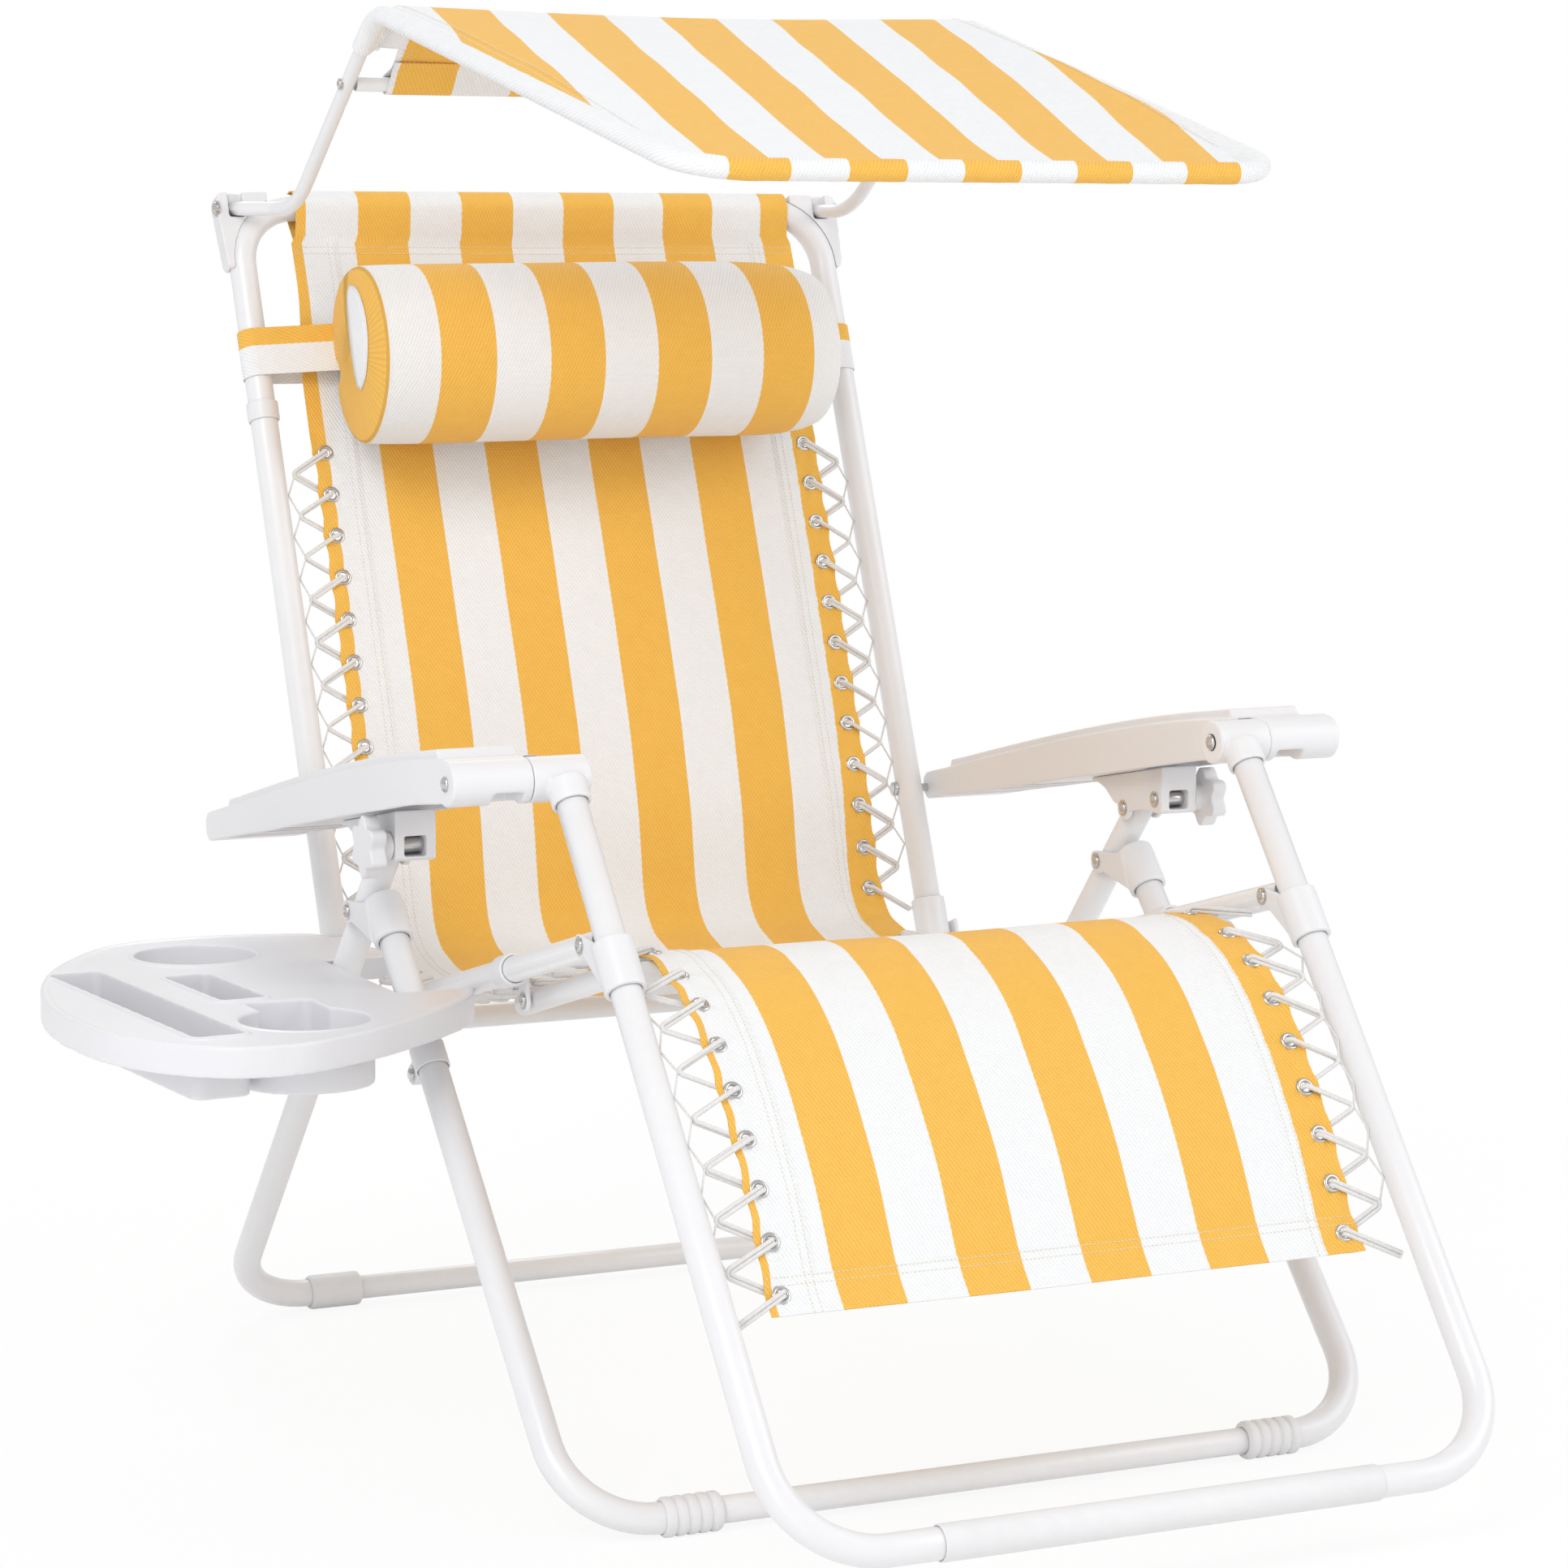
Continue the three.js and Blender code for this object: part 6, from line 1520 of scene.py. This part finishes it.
def makeCover():
    end = canopyLine["length"] - canopy["barSeam"]
    near = canopy["inset"] + (canopy["bend"] - canopy["inset"]) * (1 - np.cos(np.linspace(0, math.pi / 2, 10)))
    rows = np.concatenate([near, np.arange(near[-1] + 7, sleeveEnd, 8), [sleeveEnd, sleeveEnd + 3],
                           np.linspace(sleeveEnd + 8, end, 6)])
    shares = np.linspace(-1, 1, 65)
    x = canopyHalf(rows)[:, None] * shares[None, :]
    points, _ = canopyAt(rows[:, None], x)
    across = canopyU(x, rows[:, None])
    lengths = list(rows)
    _, way, normal = onLine(canopyLine, canopyLine["length"])
    last, before = lengths[-1], points[-1, 32, 1:]
    for place in loopRows(canopy["bar"], -way, normal, canopy["barSeam"], canopy["round"], 2.2, 9):
        last += float(np.linalg.norm(place - before))
        before = place
        row = np.stack([x[-1], np.full(65, place[0]), np.full(65, place[1])], axis=-1)
        points = np.concatenate([points, row[None]])
        across = np.concatenate([across, across[-1:]])
        lengths.append(last)
    along = np.broadcast_to(np.array(lengths)[:, None] / 1000, across.shape)
    sheet = gridSheet("canopySheet", points, np.stack([across, along], axis=-1), thickness=canopy["thickness"])
    wear(sheet, "sling", "canopy", "striped_cloth", "canopy_fabric")
    return sheet, end


def makeCoverSleeves():
    half, corners = canopy["half"], []
    for s in (-1, 1):
        flank = [side(s * half, canopy["start"]), side(s * half, canopy["ridge"]),
                 side(s * canopy["frontHalf"], canopy["front"])]
        corners += flank if s < 0 else flank[::-1]
    stations, tangents = bentPath(corners, [canopy["bend"]] * 4, 6)
    places, ways = [stations[0]], [tangents[0]]
    for i in range(1, len(stations)):
        span = (stations[i] - stations[i - 1]).length
        for k in range(1, int(span / 12) + 1):
            places.append(stations[i - 1].lerp(stations[i], k / (int(span / 12) + 1)))
            ways.append(tangents[i])
        places.append(stations[i])
        ways.append(tangents[i])
    radius, seam = canopy["round"], canopy["seam"]
    open_ = math.acos(radius / seam)
    profile = [(seam + 4, 1.15), (seam, 1.4)]
    profile += [(radius * math.cos(a), radius * math.sin(a)) for a in np.linspace(open_, 2 * math.pi - open_, 24)]
    profile += [(seam, -1.4), (seam + 4, -1.15)]
    slope = unit(between(canopy["front"], canopy["ridge"]))
    slopeUp = Vector((0, -slope[1], slope[0]))
    frames = []
    for place, way in zip(places, ways):
        up = Vector((0, -way.z, way.y))
        up = slopeUp if up.length < 0.05 else up.normalized() if up.z > 0 else -up.normalized()
        frames.append((place, up, up.cross(way).normalized()))
    lengths = np.concatenate([[0], np.cumsum([(b - a).length for a, b in zip(places, places[1:])])])
    girth = np.concatenate([[0], np.cumsum(np.linalg.norm(np.diff(np.array(profile), axis=0), axis=1))])
    inBend = [side(s * (canopy["frontHalf"] - 16), step(canopy["front"], slope, 16)) for s in (-1, 1)]
    bendMiddle = [min(range(len(places)), key=lambda i: (places[i] - spot).length) for spot in inBend]
    pieces = []
    for name, first, last in (("canopySleeve.left", 0, bendMiddle[0]), ("canopyHem", bendMiddle[0], bendMiddle[1]),
                              ("canopySleeve.right", bendMiddle[1], len(places) - 1)):
        points, uvs = [], []
        for i in range(first, last + 1):
            place, up, inward = frames[i]
            for j, (u, n) in enumerate(profile):
                pucker = 0.3 * math.sin(lengths[i] * 0.31 + 2 * math.sin(lengths[i] * 0.05)) * (1 if u > 4 else 0.4)
                point = place + inward * u + up * (n + (pucker if n > 0 else -pucker))
                points.append(point)
                uvs.append((canopyU(point.x, 10), girth[j] / 1000) if name == "canopyHem"
                           else (girth[j] / 1000, lengths[i] / 1000))
        shape = (last + 1 - first, len(profile))
        obj = gridSheet(name, np.array([tuple(p) for p in points]).reshape(*shape, 3), np.array(uvs).reshape(*shape, 2),
                        thickness=1.0)
        wear(obj, "sling" if name == "canopyHem" else "plain", "canopy", "striped_cloth", "canopy_fabric")
        pieces.append(obj)
    # Stitches run under the whole sleeve, and on top only along the hem, as the cover hides the rest
    below = [place + inward * (seam + 2) - up * 2.0 for place, up, inward in frames]
    above = [place + inward * (seam + 2) + up * 2.0 for place, up, inward in frames if abs(inward.x) < 0.5]
    return pieces, [below, above]


makeCanopyFrame()
cover, seamRun = makeCover()
sleeves, coverSeams = makeCoverSleeves()
for s in (-1, 1):
    runs = np.linspace(90, sleeveEnd - 30, 60)
    for inward in (5.5, 11):
        coverSeams.append(canopyAt(runs, s * (canopyInner(runs) - inward), 0.8)[0])
for lift in (0.8, -0.8):
    for s in (-1, 1):
        for x in (canopy["flap"] - 5, canopy["flap"] - 13):
            runs = np.linspace(sleeveEnd + 4, seamRun, 12)
            coverSeams.append(canopyAt(runs, s * x, lift)[0])
    for run in (seamRun - 2, seamRun - 8):
        across = np.linspace(-canopy["flap"] + 2, canopy["flap"] - 2, 80)
        coverSeams.append(canopyAt(np.full_like(across, run), across, lift)[0])
coverStitches = seamsThrough("canopyStitches", coverSeams, "canopy", "striped_cloth", pitch=4.2, length=3.0)
print("canopy is covered")

# Pillow and its band, set out from the plane of the back tubes
pillow = {"height": 870, "forward": 80.5, "half": 232, "deep": 77, "tall": 85, "around": 72, "along": 58, "swell": 9,
          "girth": 0.506, "firstStripe": -235, "stripe": 54.45, "bandHeight": 895, "bandRadius": 13.9, "bandForward": 24}


def onBackPlane(height):
    return step(layout["backBar"], backUp, (height - layout["backBar"][1]) / backUp[1])


pillowPlace, bandPlace = onBackPlane(pillow["height"]), onBackPlane(pillow["bandHeight"])
pillowMiddle = step(pillowPlace, backForward, pillow["forward"])


def onPillow(x, up, forward):
    p = step(step(pillowMiddle, backUp, up), backForward, forward)
    return (x, p[0], p[1])


def makePillow():
    around, along = pillow["around"], pillow["along"]
    points, uvs, rings = [], [], []
    half = pillow["half"]
    for i in range(along + 1):
        t = -1 + 2 * i / along
        narrowing = 0.02 if t < 0 else 0.13
        rings.append((half * t, 1 - narrowing * abs(t) ** 9, (half * t - pillow["firstStripe"]) / pillow["stripe"]))
    capRings = [(0.97, 0.6), (0.9, 1.4), (0.76, 2), (0.52, 2.2), (0.28, 2.3)]
    rings = [(-half - rise, share * 0.98, -0.5) for share, rise in capRings[::-1]] + rings \
        + [(half + rise * 3, share * 0.87, 8.5) for share, rise in capRings]
    for x, share, count in rings:
        for k in range(around):
            a = 2 * math.pi * k / around
            bulge = 1 + 0.02 * math.sin(3 * a + x * 0.01)
            flat = 1 - 0.05 * max(0.0, -math.sin(a)) ** 4
            points.append(onPillow(x, pillow["tall"] * share * math.cos(a) * bulge,
                                   pillow["deep"] * share * math.sin(a) * flat))
            uvs.append((stripeU(count), k / around * pillow["girth"]))
    faces = ringsToFaces(len(rings), around, closeEnds=False)
    for first, x, count in ((0, -half - 2.4, -0.5), (len(rings) - 1, half + 7, 8.5)):
        points.append(onPillow(x, 0, 0))
        uvs.append((stripeU(count), 0.25))
        middle = len(points) - 1
        ring = [first * around + k for k in range(around)]
        faces += [(ring[k], middle, ring[(k + 1) % around]) for k in range(around)]
    obj = faceOut(makePiece("pillow", points, faces, uvs))
    blowUp(obj)
    fine = obj.modifiers.new("fine", "SUBSURF")
    fine.levels = 1
    settle(obj)
    return obj


def blowUp(obj):
    # Fills the sewn shell with air pressure, and keeps each point near where it was sewn
    before = np.empty(len(obj.data.vertices) * 3)
    obj.data.vertices.foreach_get("co", before)
    blown = obj.modifiers.new("blown", "CLOTH")
    blown.settings.quality = 6
    blown.settings.use_pressure = True
    blown.settings.uniform_pressure_force = 4
    blown.settings.tension_stiffness = 18
    blown.settings.compression_stiffness = 12
    blown.settings.bending_stiffness = 0.6
    blown.settings.effector_weights.gravity = 0
    blown.point_cache.frame_start, blown.point_cache.frame_end = 1, 20
    for frame_ in range(1, 21):
        scene.frame_set(frame_)
    settle(obj)
    scene.frame_set(1)
    after = np.empty_like(before)
    obj.data.vertices.foreach_get("co", after)
    moved = (after - before).reshape(-1, 3)
    moved -= moved.mean(axis=0)
    far = np.linalg.norm(moved, axis=1)
    limit = pillow["swell"] / 1000
    moved *= (np.minimum(far, limit) / np.maximum(far, 1e-9))[:, None]
    print("pillow swelled by", round(float(far.max()) * 1000, 1), "mm at most")
    obj.data.vertices.foreach_set("co", (before + moved.ravel()))
    obj.data.update()


def makeEndPanel(ground):
    # A pale lens sewn into the pillow's left end
    points, uvs, faces = [], [], []
    rows, columns = 17, 5
    for i in range(rows):
        t = -1 + 2 * i / (rows - 1)
        width = 19 * math.sqrt(max(0.0, 1 - t * t)) + 0.4
        for j in range(columns):
            w = -1 + 2 * j / (columns - 1)
            points.append(onPillow(-pillow["half"] - 9, 12 + 52 * t, 26 + width * w - 14 * t * t))
            uvs.append((0.02 * w, 0.06 * t))
    for i in range(rows - 1):
        for j in range(columns - 1):
            a = i * columns + j
            faces.append((a, a + 1, a + columns + 1, a + columns))
    obj = makePiece("pillowEndPanel", points, faces, uvs)
    laid = obj.modifiers.new("laid", "SHRINKWRAP")
    laid.target = ground
    laid.wrap_mode = "ABOVE_SURFACE"
    laid.offset = 0.0009
    return wear(thicken(obj, 1.0), "plain", "headrest", "striped_cloth")


def makeBand():
    radius, x0, forward0 = pillow["bandRadius"], pillow["half"] - 4.0, pillow["bandForward"]
    centre = layout["backHalf"]
    start = math.atan2(forward0, x0 - centre)
    tangent = start - math.acos(radius / math.hypot(forward0, x0 - centre))
    line = [(x0, forward0)]
    for t in (0.25, 0.5, 0.75):
        end = (centre + radius * math.cos(tangent), radius * math.sin(tangent))
        line.append((x0 + (end[0] - x0) * t, forward0 + (end[1] - forward0) * t))
    for i in range(15):
        a = tangent + (-math.pi / 2 - tangent) * i / 14
        line.append((centre + radius * math.cos(a), radius * math.sin(a)))
    line += [(x, -radius) for x in (260, 200, 150, 100, 50, 0)]
    line += [(-x, f) for x, f in line[-2::-1]]
    widths = np.linspace(-23, 23, 9)
    points, uvs, run = [], [], 0.0
    for i, (x, f) in enumerate(line):
        run += math.hypot(x - line[i - 1][0], f - line[i - 1][1]) if i else 0
        for w in widths:
            p = step(step(bandPlace, backUp, w), backForward, f)
            points.append((x, p[0], p[1]))
            uvs.append((stripeU(1) + (w - 6) / 1000, run / 1000))
    shape = (len(line), len(widths))
    obj = gridSheet("pillowBand", np.array(points).reshape(*shape, 3), np.array(uvs).reshape(*shape, 2), thickness=1.1)
    return wear(obj, "sling", "headrest", "striped_cloth", "pillow_band")


pillowPiece = wear(makePillow(), "sling", "headrest", "striped_cloth", "pillow")
makeEndPanel(pillowPiece)
makeBand()
print("pillow and band are made")

# Tray: a moulded shell with a rolled edge, two cup wells and two pockets
tray = {
    "top": 388, "deep": 25, "wall": 3.5, "outline": [
        (-30, -162), (40, -232), (111, -283), (171, -309), (219, -305), (258, -273), (289, -216), (301, -138),
        (294, -32), (269, 54), (217, 150), (156, 212), (96, 224), (15, 212), (-23, 195), (-33, 156)],
    "cups": [(112, 125), (129, -205)], "cupRadius": 52.5, "cupDepth": 52, "recess": 16,
    "pockets": [((225, -87), (44, 330), 3.6, 50), ((148, -36), (40, 130), 3.6, 50), ((122, -161), (56, 88), 0, 52)],
}


def trayOutline(inset=0.0):
    p = np.array([(-layout["legHalf"] - a, b) for a, b in tray["outline"]])
    closed = np.vstack([p[-2:], p, p[:3]])
    line = smoothLine(closed, 2.0)
    again = np.where(np.linalg.norm(line["at"] - p[0], axis=1) < 1.5)[0][-1]
    runs = np.linspace(nearestRun(line, p[0]), float(line["run"][again]), 140, endpoint=False)
    at, _, normal = onLine(line, runs)
    middle = at.mean(axis=0)
    inward = normal if np.sum(normal * (middle - at)) > 0 else -normal
    return [tuple(q) for q in at + inward * inset]


def pocketOutline(middle, size, turn, outset=0.0):
    x0, y0 = -layout["legHalf"] - middle[0], middle[1]
    corner = size[0] / 6 + outset
    c, s = math.cos(math.radians(turn)), math.sin(math.radians(turn))
    outline = []
    for sx, sy, base in ((1, 1, 0), (-1, 1, 90), (-1, -1, 180), (1, -1, 270)):
        for k in range(7):
            a = math.radians(base + k * 15)
            u = sx * (size[0] / 2 + outset - corner) + corner * math.cos(a)
            v = sy * (size[1] / 2 + outset - corner) + corner * math.sin(a)
            outline.append((x0 + u * c - v * s, y0 + u * s + v * c))
    return outline


def cupOutline(middle, outset=0.0):
    return arc((-layout["legHalf"] - middle[0], middle[1]), tray["cupRadius"] + outset, 0, 2 * math.pi * 71 / 72, 71)


def makeTray():
    top, wall, over = tray["top"], tray["wall"], 25
    floor = top - tray["deep"]
    parts = [uprightSolid(trayOutline(), floor, top)]
    wells, rooms = [], []
    for middle in tray["cups"]:
        wells.append((cupOutline(middle, wall), cupOutline(middle), tray["cupDepth"]))
    for middle, size, turn, depth in tray["pockets"]:
        wells.append((pocketOutline(middle, size, turn, wall), pocketOutline(middle, size, turn), depth))
    shell = combine("trayShell", parts, [uprightSolid(trayOutline(wall), floor - 5, top - wall)])
    lips = []
    for i, (outer, inner, depth) in enumerate(wells):
        lips.append(uprightSolid(outer, top - depth, top + (0.9 if i not in (1, 4) else 0)))
        rooms.append(uprightSolid(inner, top - depth + wall, top + 10))
    legs = [(frontBar, frontUp, -1), (layout["armPivot"], rearDown, 1)]

    def legEdge(z, outset):
        spots = []
        for place, run, way in legs:
            lean = math.hypot(*run) / abs(run[1])
            spots.append(place[0] + run[0] / run[1] * (z - place[1]) + way * (layout["legRadius"] + 0.3 + outset) * lean)
        return spots

    def legRoom(outset, x0, x1):
        low, high = legEdge(floor - over, outset), legEdge(top + over, outset)
        return plateSolid([(low[0], floor - over), (low[1], floor - over), (high[1], top + over), (high[0], top + over)],
                          x0, x1)

    reach = layout["legHalf"] + tray["recess"]
    skin = intersected(legRoom(wall, -reach - wall, -300), uprightSolid(trayOutline(), floor, top))
    recess = legRoom(0, -reach, -290)
    # The field inside the rim sits a little lower than the rim
    field = uprightSolid(trayOutline(6), top - 1.1, top)
    shell = combine("trayShell", [shell, skin], [field])
    piece = combine("tray", [shell, *lips], [*rooms, recess])
    wear(mould(piece, 1.5, 5, 0.22), "tray", "tray", "tray_plastic", "tray")
    print("tray has", len(piece.data.polygons), "faces")


def intersected(a, b):
    common = a.modifiers.new("common", "BOOLEAN")
    common.operation = "INTERSECT"
    common.solver = "MANIFOLD"
    common.object = b
    settle(a)
    bpy.data.objects.remove(b)
    return a


makeTray()
print("tray is moulded")
